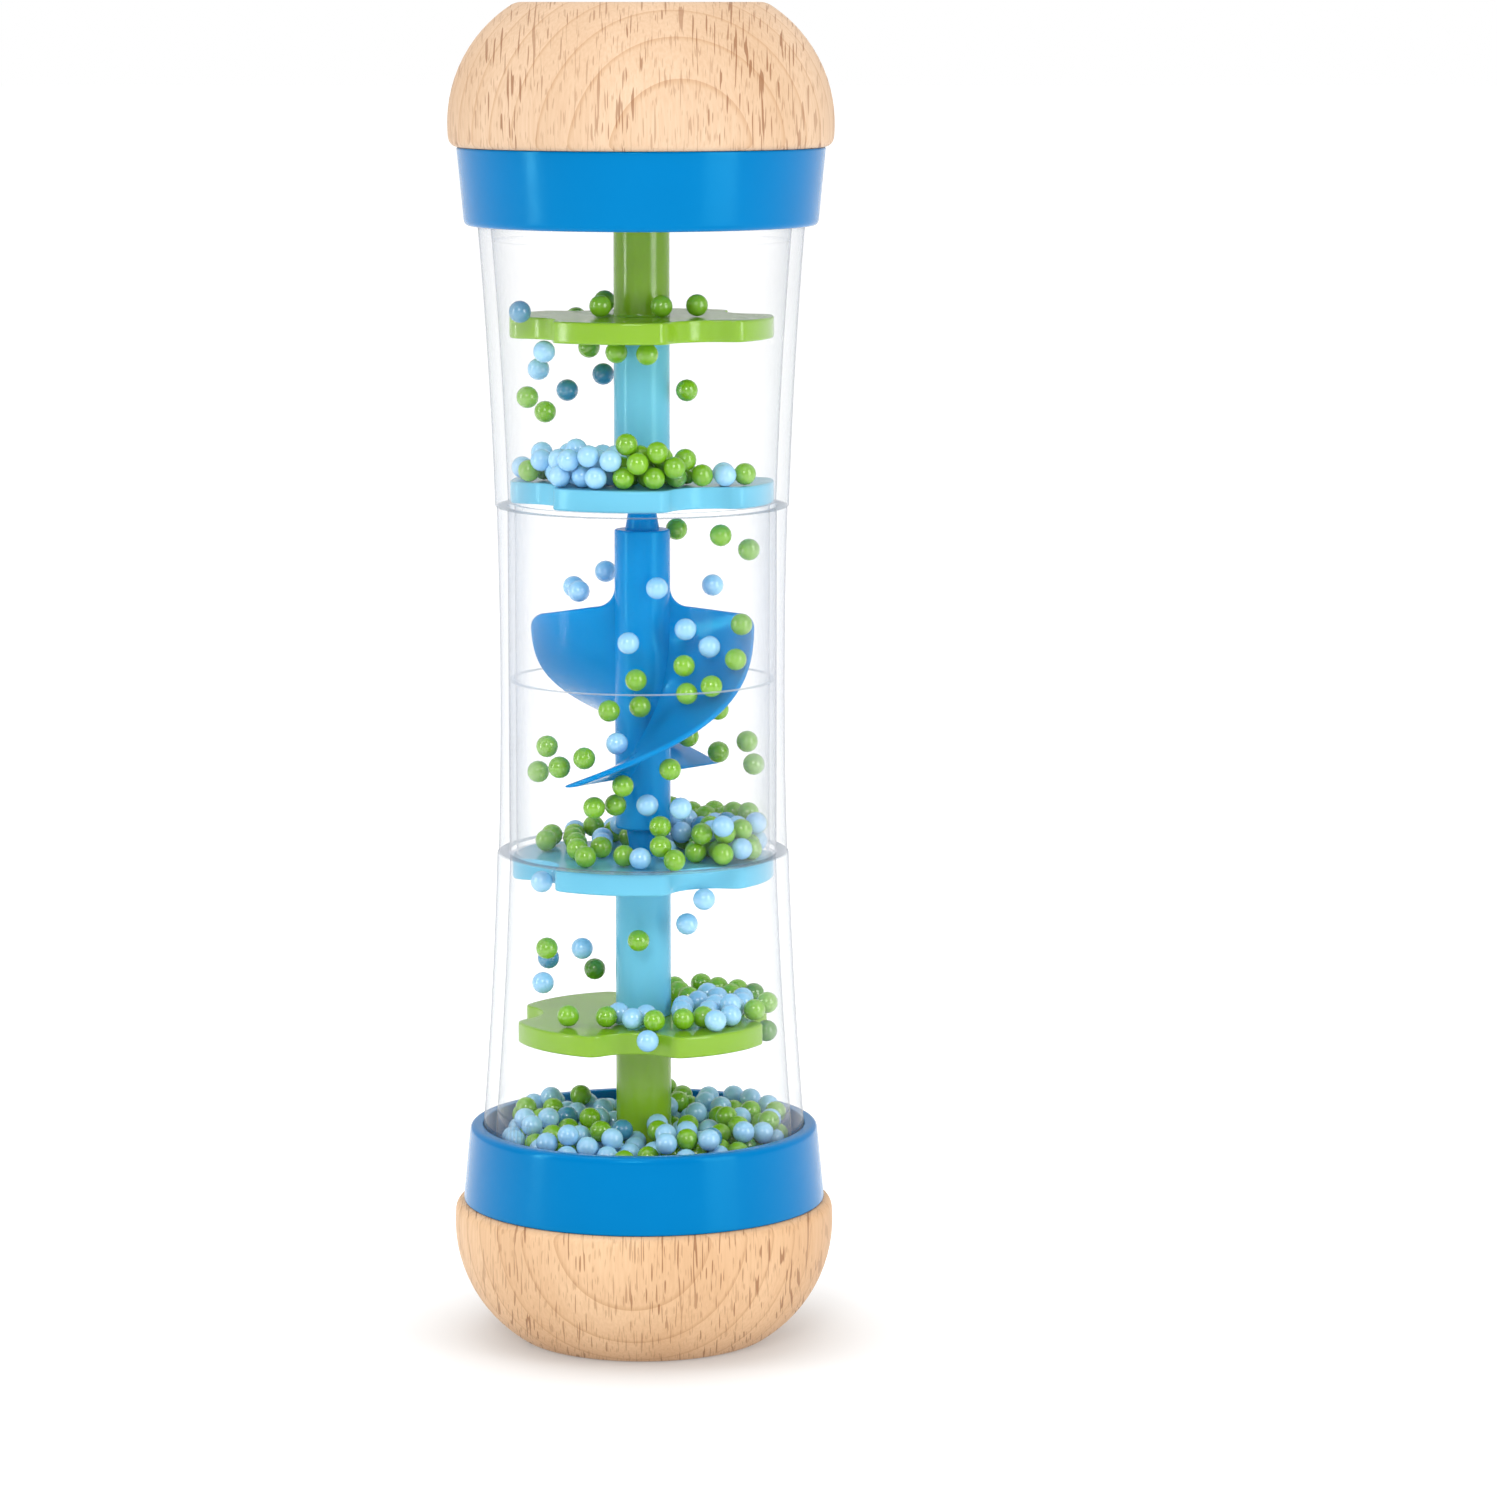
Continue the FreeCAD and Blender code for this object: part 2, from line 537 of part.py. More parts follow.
MIDDLE_FALLING_GREEN = [(6.35, 338, 21.9), (2.85, 350, 19.6), (11.95, 44, 21.9),
                        (6.7, 235, -18.0), (7.6, 284, -20.7), (10.05, 244, -17.9)]
MIDDLE_LOW_BLUE = [(9.4, 275, -17.7), (6.2, 297, -17.9)]
SPIRAL_GREEN = [(3.35, 341, 8.7), (3.05, 331, 3.8), (9.85, 265, 0.9), (8.75, 308, 2.9),
                (6.95, 304, -1.0), (4.05, 314, 0.2), (8.75, 242, -3.7), (11.75, 268, -3.3),
                (7.55, 10, -4.9), (3.95, 236, -10.3), (3.35, 219, -12.0), (3.65, 203, -9.4),
                (2.85, 196, -13.4), (4.35, 287, -11.7), (9.65, 44, -9.6), (5.95, 30, -12.0),
                (2.55, 18, -10.2), (2.35, 2, -13.0), (7.6, 256, -14.6)]
SPIRAL_BLUE = [(11.55, 288, 14.3), (7.85, 20, 13.6), (9.05, 125, 15.2), (6.35, 146, 13.0),
               (10.35, 257, 6.3), (9.95, 316, 8.1), (7.15, 328, 5.5), (7.35, 252, -8.3),
               (5.35, 64, -10.0), (8.75, 160, 12.7)]


def hand_set(places, datum):
    """Bead centres from hand-set places above a datum height."""
    return [polar(bore_radius(datum + rise) - inset, bearing, datum + rise)
            for inset, bearing, rise in places]


# ---- Build every node ----
def build_nodes():
    nodes = {}
    ends = {"lower": lambda shape: shape, "upper": upper}
    tube = make_tube()
    for rib in make_tube_ribs():
        tube = tube.fuse(rib)
    for end, place in ends.items():
        nodes[end + "_cap"] = place(make_cap())
        nodes[end + "_cap_screw"] = place(make_screw())
        nodes[end + "_collar"] = place(make_collar())
    nodes["lower_tube"] = tube
    nodes["upper_tube"] = upper(make_tube())
    nodes["tube_sleeve"] = make_sleeve()
    nodes["lower_green_disc"] = make_green_disc(LOWER_GREEN_BEARING)
    nodes["upper_green_disc"] = upper(make_green_disc(UPPER_DISC_BEARING))
    nodes["lower_blue_disc"] = make_blue_disc(LOWER_BLUE_BEARING)
    nodes["upper_blue_disc"] = upper(make_blue_disc(UPPER_DISC_BEARING))
    nodes["spiral"] = make_spiral()

    upper_green_face = OVERALL_LENGTH - GREEN_DISC_HEIGHT
    upper_blue_face = OVERALL_LENGTH - BLUE_DISC_HEIGHT
    by_hand = {
        "top_green_beads": hand_set(TOP_GREEN, upper_green_face),
        "upper_falling_green_beads": hand_set(UPPER_FALLING_GREEN, upper_blue_face),
        "upper_falling_blue_beads": hand_set(UPPER_FALLING_BLUE, upper_blue_face),
        "middle_falling_green_beads": hand_set(MIDDLE_FALLING_GREEN, HALF),
        "lower_falling_green_beads": hand_set(LOWER_FALLING_GREEN, GREEN_DISC_TOP),
        "lower_falling_blue_beads": hand_set(LOWER_FALLING_BLUE, GREEN_DISC_TOP),
        "spiral_green_beads": hand_set(SPIRAL_GREEN, HALF),
        "spiral_blue_beads": hand_set(SPIRAL_BLUE, HALF),
    }
    for name, centres in by_hand.items():
        nodes[name] = bead_group(centres)

    low_blue = hand_set(MIDDLE_LOW_BLUE, HALF)
    set_down = [centre for centres in by_hand.values() for centre in centres] + low_blue
    base = Pile(FLOOR_TOP, TUBE_FOOT_BORE_RADIUS - TUBE_RIB_PROUD, **BASE_POUR)
    lower_disc = Pile(GREEN_DISC_TOP, CHAMBER_RADIUS, bearing=LOWER_GREEN_BEARING, others=set_down,
                      **LOWER_DISC_POUR)
    middle = Pile(BLUE_DISC_TOP, SPIGOT_BORE_RADIUS, bearing=LOWER_BLUE_BEARING, others=set_down,
                  **MIDDLE_POUR)
    upper_disc = Pile(upper_blue_face, CHAMBER_RADIUS, bearing=UPPER_DISC_BEARING, others=set_down,
                      **UPPER_DISC_POUR)
    dealt = {
        "base": split_colours(base.drop(BASE_BEADS), BASE_BLUE_SHARE, BASE_BLUE_SHARE),
        "lower_disc": split_colours(lower_disc.drop(LOWER_DISC_BEADS), LOWER_DISC_BLUE_SHARE,
                                    LOWER_DISC_BLUE_SHARE),
        "middle": split_colours(middle.drop(MIDDLE_BEADS), MIDDLE_BLUE_SHARE, MIDDLE_BLUE_SHARE),
        "upper_disc": split_colours(upper_disc.drop(UPPER_DISC_BEADS), UPPER_LEFT_BLUE_SHARE,
                                    UPPER_RIGHT_BLUE_SHARE),
    }
    dealt["middle"][0].extend(low_blue)
    for name, (blue, green) in dealt.items():
        nodes[name + "_blue_beads"] = bead_group(blue)
        nodes[name + "_green_beads"] = bead_group(green)
    return nodes


def main():
    os.makedirs("parts", exist_ok=True)
    for name, shape in build_nodes().items():
        shape.exportStep("parts/" + name + ".step")
        box = shape.BoundBox
        print(f"{name:28} solids {len(shape.Solids):3} volume {shape.Volume:9.1f} valid {shape.isValid()}"
              f" z {box.ZMin:7.2f} to {box.ZMax:7.2f}")


main()
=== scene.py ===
"""Rainstick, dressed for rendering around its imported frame.

The caps, collars, clear tube, discs, spiral and beads are smooth surfaces worked out with numpy.
Each stands for its solid in the frame and rides on that solid's body. Lengths inside the classes
are in millimetres, bearings are in degrees from +X, and a mesh is scaled to metres when made.
"""

import sys

import json
import logging
import math
from dataclasses import dataclass
from enum import Enum
from typing import Sequence, Union

import bmesh
import bpy
import numpy as np
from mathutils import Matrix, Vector


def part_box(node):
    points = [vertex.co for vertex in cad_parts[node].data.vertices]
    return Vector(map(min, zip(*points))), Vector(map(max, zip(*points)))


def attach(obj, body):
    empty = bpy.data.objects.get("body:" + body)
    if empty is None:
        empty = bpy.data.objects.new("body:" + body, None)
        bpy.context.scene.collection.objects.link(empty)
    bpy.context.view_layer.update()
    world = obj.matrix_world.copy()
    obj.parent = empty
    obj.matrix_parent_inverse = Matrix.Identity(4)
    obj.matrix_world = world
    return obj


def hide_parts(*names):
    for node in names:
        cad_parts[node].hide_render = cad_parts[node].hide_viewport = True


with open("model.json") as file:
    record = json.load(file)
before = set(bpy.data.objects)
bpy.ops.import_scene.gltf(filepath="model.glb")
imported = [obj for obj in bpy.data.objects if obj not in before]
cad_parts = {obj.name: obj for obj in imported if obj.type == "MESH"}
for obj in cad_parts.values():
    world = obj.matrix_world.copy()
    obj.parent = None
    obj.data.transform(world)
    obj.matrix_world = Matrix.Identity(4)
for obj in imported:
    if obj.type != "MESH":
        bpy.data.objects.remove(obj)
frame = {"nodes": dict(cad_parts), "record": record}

log = logging.getLogger("rainstick")

METRE = 1000.0               # millimetres in a metre
Colour = tuple[float, float, float]
Socket = bpy.types.NodeSocket
Fed = Union[Socket, float, Sequence[float]]  # what a node's socket takes
BODY_OF = {node: body for body, nodes in frame["record"]["behaviour"]["bodies"].items()
           for node in nodes}


class End(Enum):
    """One of the stick's two ends, which hold the same mouldings turned over."""

    LOWER = "lower"
    UPPER = "upper"

    def node(self, piece: str) -> str:
        """The frame's name for this end's copy of a piece."""
        return f"{self.value}_{piece}"


# ---- The frame's sizes ----
def node_span(node: str) -> tuple[float, float]:
    """Lowest and highest height of a node of the frame, in millimetres."""
    low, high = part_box(node)
    return low.z * METRE, high.z * METRE


def node_radius(node: str) -> float:
    """Half the width of a node of the frame along X, in millimetres."""
    low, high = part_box(node)
    return (high.x - low.x) / 2 * METRE


SEAM = node_span("lower_collar")[0]          # where the collar meets the cap
RIM = node_span("lower_collar")[1]           # the collar's rim
FLOOR_TOP = node_span("lower_tube")[0]       # the collar's floor, on which the tube stands
HALF = node_span("upper_cap")[1] / 2         # mid height of the whole stick

# ---- Sizes that two pieces share, in millimetres ----
TENON_RADIUS = 24.0          # the cap's tenon, in the collar's recess
TUBE_WALL = 1.9
SHOULDER_GAP = 0.1           # from the tube's shoulder up to the sleeve
LEDGE_DROP = 0.5             # from the shoulder down to the middle disc's ledge
DISC_GAP = 0.35              # from a disc's rim to the tube's wall
SHAFT_RADIUS = 4.15          # discs and spiral alike
POLE = 0.2                   # radius of the last ring before a closed end's middle point


# ---- Outlines: runs of points (radius, height) ----
def straight(start: Sequence[float], end: Sequence[float]) -> np.ndarray:
    """Straight run between two points: start + (end - start) t.

    Args:
        start: First radius and height.
        end: Last radius and height.

    Returns:
        An array of radii and heights.
    """
    t = np.linspace(0, 1, 33)[:, None]
    return np.array(start) + (np.array(end) - np.array(start)) * t


def arc(centre: Sequence[float], radius: float, first: float, last: float) -> np.ndarray:
    """Run along a circle: centre + radius (cos a, sin a) for a from first to last.

    Args:
        centre: Radius and height of the circle's centre.
        radius: The circle's radius.
        first: First angle in radians.
        last: Last angle in radians.

    Returns:
        An array of radii and heights.
    """
    a = np.linspace(first, last, 97)
    return np.column_stack([centre[0] + radius * np.cos(a), centre[1] + radius * np.sin(a)])


def resampled(run: np.ndarray, start: float, end: float, count: int) -> np.ndarray:
    """Points along a run between two trims, closer together near its ends.

    The distance along the run is start + (length - start - end) (1 - cos(pi t)) / 2.

    Args:
        run: Radii and heights.
        start: Length cut from the run's start.
        end: Length cut from its end.
        count: How many points come back.

    Returns:
        An array of count radii and heights.
    """
    along = np.r_[0, np.cumsum(np.linalg.norm(np.diff(run, axis=0), axis=1))]
    ease = (1 - np.cos(math.pi * np.linspace(0, 1, count))) / 2
    marks = start + (along[-1] - start - end) * ease
    return np.column_stack([np.interp(marks, along, run[:, k]) for k in (0, 1)])


def outline(runs: Sequence[np.ndarray], rounding: Sequence[float], count: int = 9) -> np.ndarray:
    """Joins runs end to end and rounds each corner where two of them meet.

    A corner C between A and B, which lie one rounding length before and after it, becomes the
    curve (1 - t)^2 A + 2 t (1 - t) C + t^2 B.

    Args:
        runs: Runs of radii and heights, each starting where the last one ends.
        rounding: Rounding length after each run. As many as the runs makes a closed outline,
            one fewer an open one.
        count: Points on each run.

    Returns:
        An array of radii and heights.
    """
    closed = len(rounding) == len(runs)
    after = list(rounding) if closed else list(rounding) + [0.0]
    before = [after[-1] if closed else 0.0] + after[:-1]
    pieces = [resampled(run, a, b, count) for run, a, b in zip(runs, before, after)]
    t = np.linspace(0, 1, 8)[1:-1, None]
    made = []
    for index, piece in enumerate(pieces):
        made.append(piece)
        if closed or index < len(pieces) - 1:
            corner, following = runs[index][-1], pieces[(index + 1) % len(pieces)][0]
            made.append((1 - t) ** 2 * piece[-1] + 2 * t * (1 - t) * corner + t ** 2 * following)
    return np.concatenate(made)


def bearings(count: int) -> np.ndarray:
    """So many evenly spaced bearings once round the axis, in radians."""
    return np.arange(count) * (2 * math.pi / count)


def turned(profile: np.ndarray, around: np.ndarray) -> np.ndarray:
    """Carries a profile round the axis: (r cos a, r sin a, h).

    Args:
        profile: Radii and heights.
        around: Bearings in radians.

    Returns:
        Points as an array of rows, columns and xyz.
    """
    radius, height = profile[:, :1], profile[:, 1:]
    return np.stack([radius * np.cos(around), radius * np.sin(around),
                     np.broadcast_to(height, (len(profile), len(around)))], axis=-1)


# ---- Skins: closed surfaces ----
@dataclass
class Skin:
    """A closed surface: points in millimetres, four-cornered faces and three-cornered ones."""

    points: np.ndarray
    quads: np.ndarray
    triangles: np.ndarray

    @classmethod
    def from_grid(cls, grid: np.ndarray, ring: bool) -> "Skin":
        """Skins a grid whose columns run once round and meet.

        Args:
            grid: Points as rows, columns and xyz.
            ring: Whether the last row meets the first, as on a hollow ring. Otherwise each end
                row is closed on its middle point.

        Returns:
            The skin.
        """
        rows, columns = grid.shape[:2]
        index = np.arange(rows * columns).reshape(rows, columns)
        if ring:
            index = np.vstack([index, index[:1]])
        side = np.roll(index, -1, axis=1)
        quads = np.stack([index[:-1], side[:-1], side[1:], index[1:]], axis=-1).reshape(-1, 4)
        points = grid.reshape(-1, 3)
        triangles = np.empty((0, 3), int)
        if not ring:
            first, last = len(points), len(points) + 1
            points = np.vstack([points, grid[0].mean(0), grid[-1].mean(0)])
            start = np.column_stack([side[0], index[0], np.full(columns, first)])
            finish = np.column_stack([index[-1], side[-1], np.full(columns, last)])
            triangles = np.vstack([start, finish])
        return cls(points, quads, triangles)

    def joined(self, other: "Skin") -> "Skin":
        """Puts this skin and another in one.

        Args:
            other: The other skin.

        Returns:
            A skin with the points and faces of both.
        """
        shift = len(self.points)
        return Skin(np.vstack([self.points, other.points]),
                    np.vstack([self.quads, other.quads + shift]),
                    np.vstack([self.triangles, other.triangles + shift]))

    def turned_over(self) -> "Skin":
        """The upper end's copy: every height becomes the whole length less itself."""
        flipped = self.points * (1, 1, -1) + (0, 0, 2 * HALF)
        return Skin(flipped, self.quads, self.triangles)

    def volume(self) -> float:
        """Enclosed volume, the sum of p . (q x s) / 6 over all triangles p q s.

        Returns:
            The volume in cubic millimetres, negative if the faces point inwards.
        """
        halves = np.vstack([self.quads[:, (0, 1, 2)], self.quads[:, (0, 2, 3)], self.triangles])
        p, q, s = (self.points[halves[:, k]] for k in range(3))
        return float(np.einsum("ij,ij->i", p, np.cross(q, s)).sum() / 6)

    def outward(self) -> "Skin":
        """The same skin with its faces pointing outwards."""
        if self.volume() > 0:
            return self
        return Skin(self.points, self.quads[:, ::-1], self.triangles[:, ::-1])

    def to_mesh(self, name: str) -> bpy.types.Mesh:
        """Makes a smooth mesh of the skin, in metres.

        Args:
            name: The mesh's name.

        Returns:
            The mesh.
        """
        sizes = np.r_[np.full(len(self.quads), 4), np.full(len(self.triangles), 3)]
        corners = np.r_[self.quads.ravel(), self.triangles.ravel()]
        mesh = bpy.data.meshes.new(name)
        mesh.vertices.add(len(self.points))
        mesh.vertices.foreach_set("co", (self.points / METRE).ravel())
        mesh.loops.add(len(corners))
        mesh.loops.foreach_set("vertex_index", corners)
        mesh.polygons.add(len(sizes))
        mesh.polygons.foreach_set("loop_start", np.cumsum(sizes) - sizes)
        mesh.polygons.foreach_set("use_smooth", np.ones(len(sizes), bool))
        mesh.update(calc_edges=True)
        mesh.validate()
        return mesh


def add_piece(name: str, mesh: bpy.types.Mesh, material: bpy.types.Material, node: str) -> bpy.types.Object:
    """Puts a mesh in the scene in place of a node of the frame.

    Args:
        name: The piece's name.
        mesh: Its mesh, already where it belongs.
        material: Its finish.
        node: The node it stands for, whose body it rides on.

    Returns:
        The new object.
    """
    piece = bpy.data.objects.new(name, mesh)
    mesh.materials.append(material)
    bpy.context.scene.collection.objects.link(piece)
    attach(piece, BODY_OF[node])
    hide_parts(node)
    log.info("%s: %d faces, in place of %s", name, len(mesh.polygons), node)
    return piece


def finish_ends(piece: bpy.types.Object, material: bpy.types.Material,
                heights: Sequence[float]) -> None:
    """Gives a second finish to a piece's flat rings at some heights.

    Args:
        piece: The piece.
        material: The rings' finish.
        heights: Heights of the rings in millimetres.
    """
    faces = piece.data.polygons
    middle, facing = np.empty(3 * len(faces)), np.empty(3 * len(faces))
    faces.foreach_get("center", middle)
    faces.foreach_get("normal", facing)
    rise = middle.reshape(-1, 3)[:, 2] * METRE
    near = np.min([np.abs(rise - height) for height in heights], axis=0) < 0.05
    flat = np.abs(facing.reshape(-1, 3)[:, 2]) > 0.9
    piece.data.materials.append(material)
    faces.foreach_set("material_index", (near & flat).astype(np.int32))


# ---- Finishes ----
class Nodes:
    """Nodes of one tree, and short ways to add to them and link them."""

    def __init__(self, tree: bpy.types.NodeTree) -> None:
        """Starts from an empty tree."""
        self.tree = tree
        tree.nodes.clear()

    def node(self, kind: str, **settings: object) -> bpy.types.Node:
        """Adds a node.

        Args:
            kind: The node's type.
            **settings: Properties to set on it.

        Returns:
            The node.
        """
        made = self.tree.nodes.new(kind)
        for key, value in settings.items():
            setattr(made, key, value)
        return made

    def feed(self, socket: Socket, value: Fed) -> None:
        """Links a socket to an output, or sets it to a plain value.

        Args:
            socket: The socket.
            value: An output, a number, a vector, or a colour for a colour socket.
        """
        if isinstance(value, bpy.types.NodeSocket):
            self.tree.links.new(value, socket)
        elif hasattr(socket.default_value, "__len__") and len(socket.default_value) == 4:
            socket.default_value = (*value, 1.0)
        else:
            socket.default_value = value

    def math(self, operation: str, first: Fed, second: Fed = 0.0) -> Socket:
        """Works out one operation on two numbers.

        Args:
            operation: Its name, such as ADD or POWER.
            first: The first number.
            second: The second one.

        Returns:
            The result's output.
        """
        made = self.node("ShaderNodeMath", operation=operation)
        self.feed(made.inputs[0], first)
        self.feed(made.inputs[1], second)
        return made.outputs["Value"]

    def between(self, value: Fed, low: float, high: float, start: float = 0.0,
                end: float = 1.0) -> Socket:
        """Carries a value smoothly from one range onto another, and holds it at the ends.

        Args:
            value: The value.
            low: Where its range starts.
            high: Where its range ends.
            start: What low becomes.
            end: What high becomes.

        Returns:
            The carried value's output.
        """
        made = self.node("ShaderNodeMapRange", interpolation_type="SMOOTHSTEP")
        for key, number in (("Value", value), ("From Min", low), ("From Max", high),
                            ("To Min", start), ("To Max", end)):
            self.feed(made.inputs[key], number)
        return made.outputs["Result"]


class Bench(Nodes):
    """One material's nodes, laid out from the object's own coordinates to the surface."""

    def __init__(self, name: str) -> None:
        """Starts an empty material of that name."""
        self.material = bpy.data.materials.new(name)
        self.material.use_nodes = True
        super().__init__(self.material.node_tree)
        coordinates = self.node("ShaderNodeTexCoord")
        self.place, self.facing = coordinates.outputs["Object"], coordinates.outputs["Normal"]

    def stretched(self, scale: Sequence[float], turn: Sequence[float] = (0, 0, 0),
                  move: Sequence[float] = (0, 0, 0)) -> Socket:
        """Moves, turns and scales the object's coordinates.

        Args:
            scale: Scale along each axis.
            turn: Turn about each axis in radians.
            move: Move in metres.

        Returns:
            The changed coordinates' output.
        """
        mapping = self.node("ShaderNodeMapping")
        self.feed(mapping.inputs["Vector"], self.place)
        for key, value in (("Location", move), ("Rotation", turn), ("Scale", scale)):
            mapping.inputs[key].default_value = value
        return mapping.outputs["Vector"]

    def noise(self, vector: Socket, detail: float = 2.0) -> Socket:
        """Fractal noise between 0 and 1.

        Args:
            vector: Coordinates.
            detail: How many finer layers it has.

        Returns:
            The noise's output.
        """
        made = self.node("ShaderNodeTexNoise")
        for key, value in (("Vector", vector), ("Scale", 1.0), ("Detail", detail),
                           ("Roughness", 0.5)):
            self.feed(made.inputs[key], value)
        return made.outputs["Fac"]

    def blend(self, share: Fed, first: Fed, second: Fed) -> Socket:
        """Mixes two colours.

        Args:
            share: Share of the second colour.
            first: The first colour.
            second: The second one.

        Returns:
            The mixed colour's output.
        """
        made = self.node("ShaderNodeMix", data_type="RGBA")
        self.feed(made.inputs[0], share)
        self.feed(made.inputs[6], first)
        self.feed(made.inputs[7], second)
        return made.outputs[2]

    def bump(self, height: Socket, strength: float, depth: float) -> Socket:
        """Turns a height into surface relief.

        Args:
            height: The height, between 0 and 1.
            strength: Share of the relief that is used.
            depth: Depth of the relief in metres.

        Returns:
            The normal's output.
        """
        made = self.node("ShaderNodeBump")
        for key, value in (("Height", height), ("Strength", strength), ("Distance", depth)):
            self.feed(made.inputs[key], value)
        return made.outputs["Normal"]

    def layered(self, under: bpy.types.Node, over: bpy.types.Node, share: Fed) -> bpy.types.Node:
        """Lays one shader over another.

        Args:
            under: The lower shader.
            over: The upper one.
            share: Share of the upper one.

        Returns:
            The node that mixes them.
        """
        mix = self.node("ShaderNodeMixShader")
        for socket, value in zip(mix.inputs, (share, under.outputs[0], over.outputs[0])):
            self.feed(socket, value)
        return mix

    def surface(self, shader: Socket) -> bpy.types.Material:
        """Ends the material in a shader's output."""
        output = self.node("ShaderNodeOutputMaterial")
        self.tree.links.new(shader, output.inputs["Surface"])
        return self.material

    def principled(self, **values: Fed) -> bpy.types.Material:
        """Ends the material in a plain surface shader.

        Args:
            **values: What each named socket is fed, with _ for a space in its name.

        Returns:
            The material.
        """
        shader = self.node("ShaderNodeBsdfPrincipled")
        for key, value in values.items():
            self.feed(shader.inputs[key.replace("_", " ")], value)
        return self.surface(shader.outputs["BSDF"])


@dataclass(frozen=True)
class Beech:
    """Oiled beech: fibres near the axis, faint growth rings, short dark ray flecks."""

    name: str
    move: tuple[float, float, float]      # slides the pattern, so that no two caps are alike
    light: Colour
    dark: Colour
    line: Colour = (0.44, 0.225, 0.10)    # the dark edge of a growth ring
    fleck: Colour = (0.235, 0.085, 0.025)
    lean: float = 0.10                    # radians between the fibres and the axis
    ring_gap: float = 0.0042              # metres between growth rings
    pith: tuple[float, float] = (0.012, -0.062)   # metres from the axis to the rings' middle

    def rings(self, bench: Bench, turn: Sequence[float]) -> Socket:
        """Growth rings round a pith: pale wood that ends in a thin dark line.

        Args:
            bench: The material's nodes.
            turn: Turn of the grain about each axis in radians.

        Returns:
            How far each place is through its ring, from 0 to 1.
        """
        place = (self.move[0] - self.pith[0], self.move[1] - self.pith[1], self.move[2])
        grown = bench.stretched((1, 1, 0.42), turn, place)
        wave = bench.node("ShaderNodeTexWave", wave_type="RINGS", rings_direction="SPHERICAL",
                          wave_profile="SAW")
        for key, value in (("Vector", grown), ("Scale", 2 * math.pi / (20 * self.ring_gap)),
                           ("Distortion", 2.2), ("Detail", 2.0), ("Detail Scale", 0.22)):
            bench.feed(wave.inputs[key], value)
        return wave.outputs["Fac"]

    def flecks(self, bench: Bench, turn: Sequence[float]) -> Socket:
        """Rays: thin ribbons from front to back along the fibres, cut by the surface into dashes.

        They are peaks of noise that is fine across, long along the fibres and longer still from
        front to back. Sides, where the surface lies along the ribbons, show them weaker.

        Args:
            bench: The material's nodes.
            turn: Turn of the grain about each axis in radians.

        Returns:
            How dark each place's fleck is, from 0 to 1.
        """
        crowd = bench.noise(bench.stretched((120, 60, 45), turn, self.move), detail=1.0)
        dashes = bench.noise(bench.stretched((3300, 150, 230), turn, self.move), detail=0.0)
        fine = bench.noise(bench.stretched((4600, 300, 520), turn, self.move), detail=0.0)
        dash = bench.math("MULTIPLY", bench.between(dashes, 0.665, 0.72),
                          bench.between(crowd, 0.35, 0.58, 0.5, 1.0))
        both = bench.math("MAXIMUM", dash, bench.between(fine, 0.64, 0.74, 0.0, 0.4))
        facing = bench.node("ShaderNodeSeparateXYZ")
        bench.feed(facing.inputs[0], bench.facing)
        side = bench.math("ABSOLUTE", facing.outputs["X"])
        return bench.math("MULTIPLY", both, bench.between(side, 0.75, 0.98, 1.0, 0.4))

    def make(self) -> bpy.types.Material:
        """Makes the material."""
        bench = Bench(self.name)
        turn = (self.lean, self.lean * 0.6, 0.0)
        ring = self.rings(bench, turn)
        flecks = self.flecks(bench, turn)
        fibre = bench.noise(bench.stretched((2600, 2600, 90), turn, self.move), detail=3.0)
        broad = bench.noise(bench.stretched((45, 45, 22), turn, self.move), detail=2.0)
        colour = bench.blend(bench.between(broad, 0.3, 0.7), self.light, self.dark)
        colour = bench.blend(bench.between(ring, 0.15, 0.95, 0.0, 0.38), colour, self.dark)
        colour = bench.blend(bench.between(ring, 0.86, 1.0, 0.0, 0.42), colour, self.line)
        colour = bench.blend(bench.between(fibre, 0.3, 0.75, 0.0, 0.20), colour, self.line)
        colour = bench.blend(bench.math("MULTIPLY", flecks, 0.72), colour, self.fleck)
        relief = bench.math("SUBTRACT", bench.math("MULTIPLY", fibre, 0.35), flecks)
        return bench.principled(
            Base_Color=colour, Roughness=bench.between(fibre, 0.2, 0.8, 0.42, 0.58),
            Normal=bench.bump(relief, 0.35, 0.00006), Specular_IOR_Level=0.3)


@dataclass(frozen=True)
class Moulded:
    """Glossy opaque moulded plastic with faint mottling and the soft ripple of its mould."""

    name: str
    colour: Colour
    shade: Colour                         # the tone that the mottling leans to
    sheen_tint: Colour = (1.0, 1.0, 1.0)  # colour of its reflections
    gloss: float = 0.14                   # roughness at its smoothest
    shine: float = 0.3                    # strength of plain reflection
    ripple: float = 0.02

    def make(self) -> bpy.types.Material:
        """Makes the material."""
        bench = Bench(self.name)
        cloud = bench.noise(bench.stretched((55, 55, 90)), detail=3.0)
        grain = bench.noise(bench.stretched((700, 700, 700)), detail=2.0)
        colour = bench.blend(bench.between(cloud, 0.3, 0.7, 0.0, 0.5), self.colour, self.shade)
        return bench.principled(
            Base_Color=colour,
            Roughness=bench.between(grain, 0.3, 0.7, self.gloss, self.gloss + 0.08),
            Normal=bench.bump(cloud, self.ripple, 0.0004),
            Specular_IOR_Level=self.shine, Specular_Tint=self.sheen_tint)


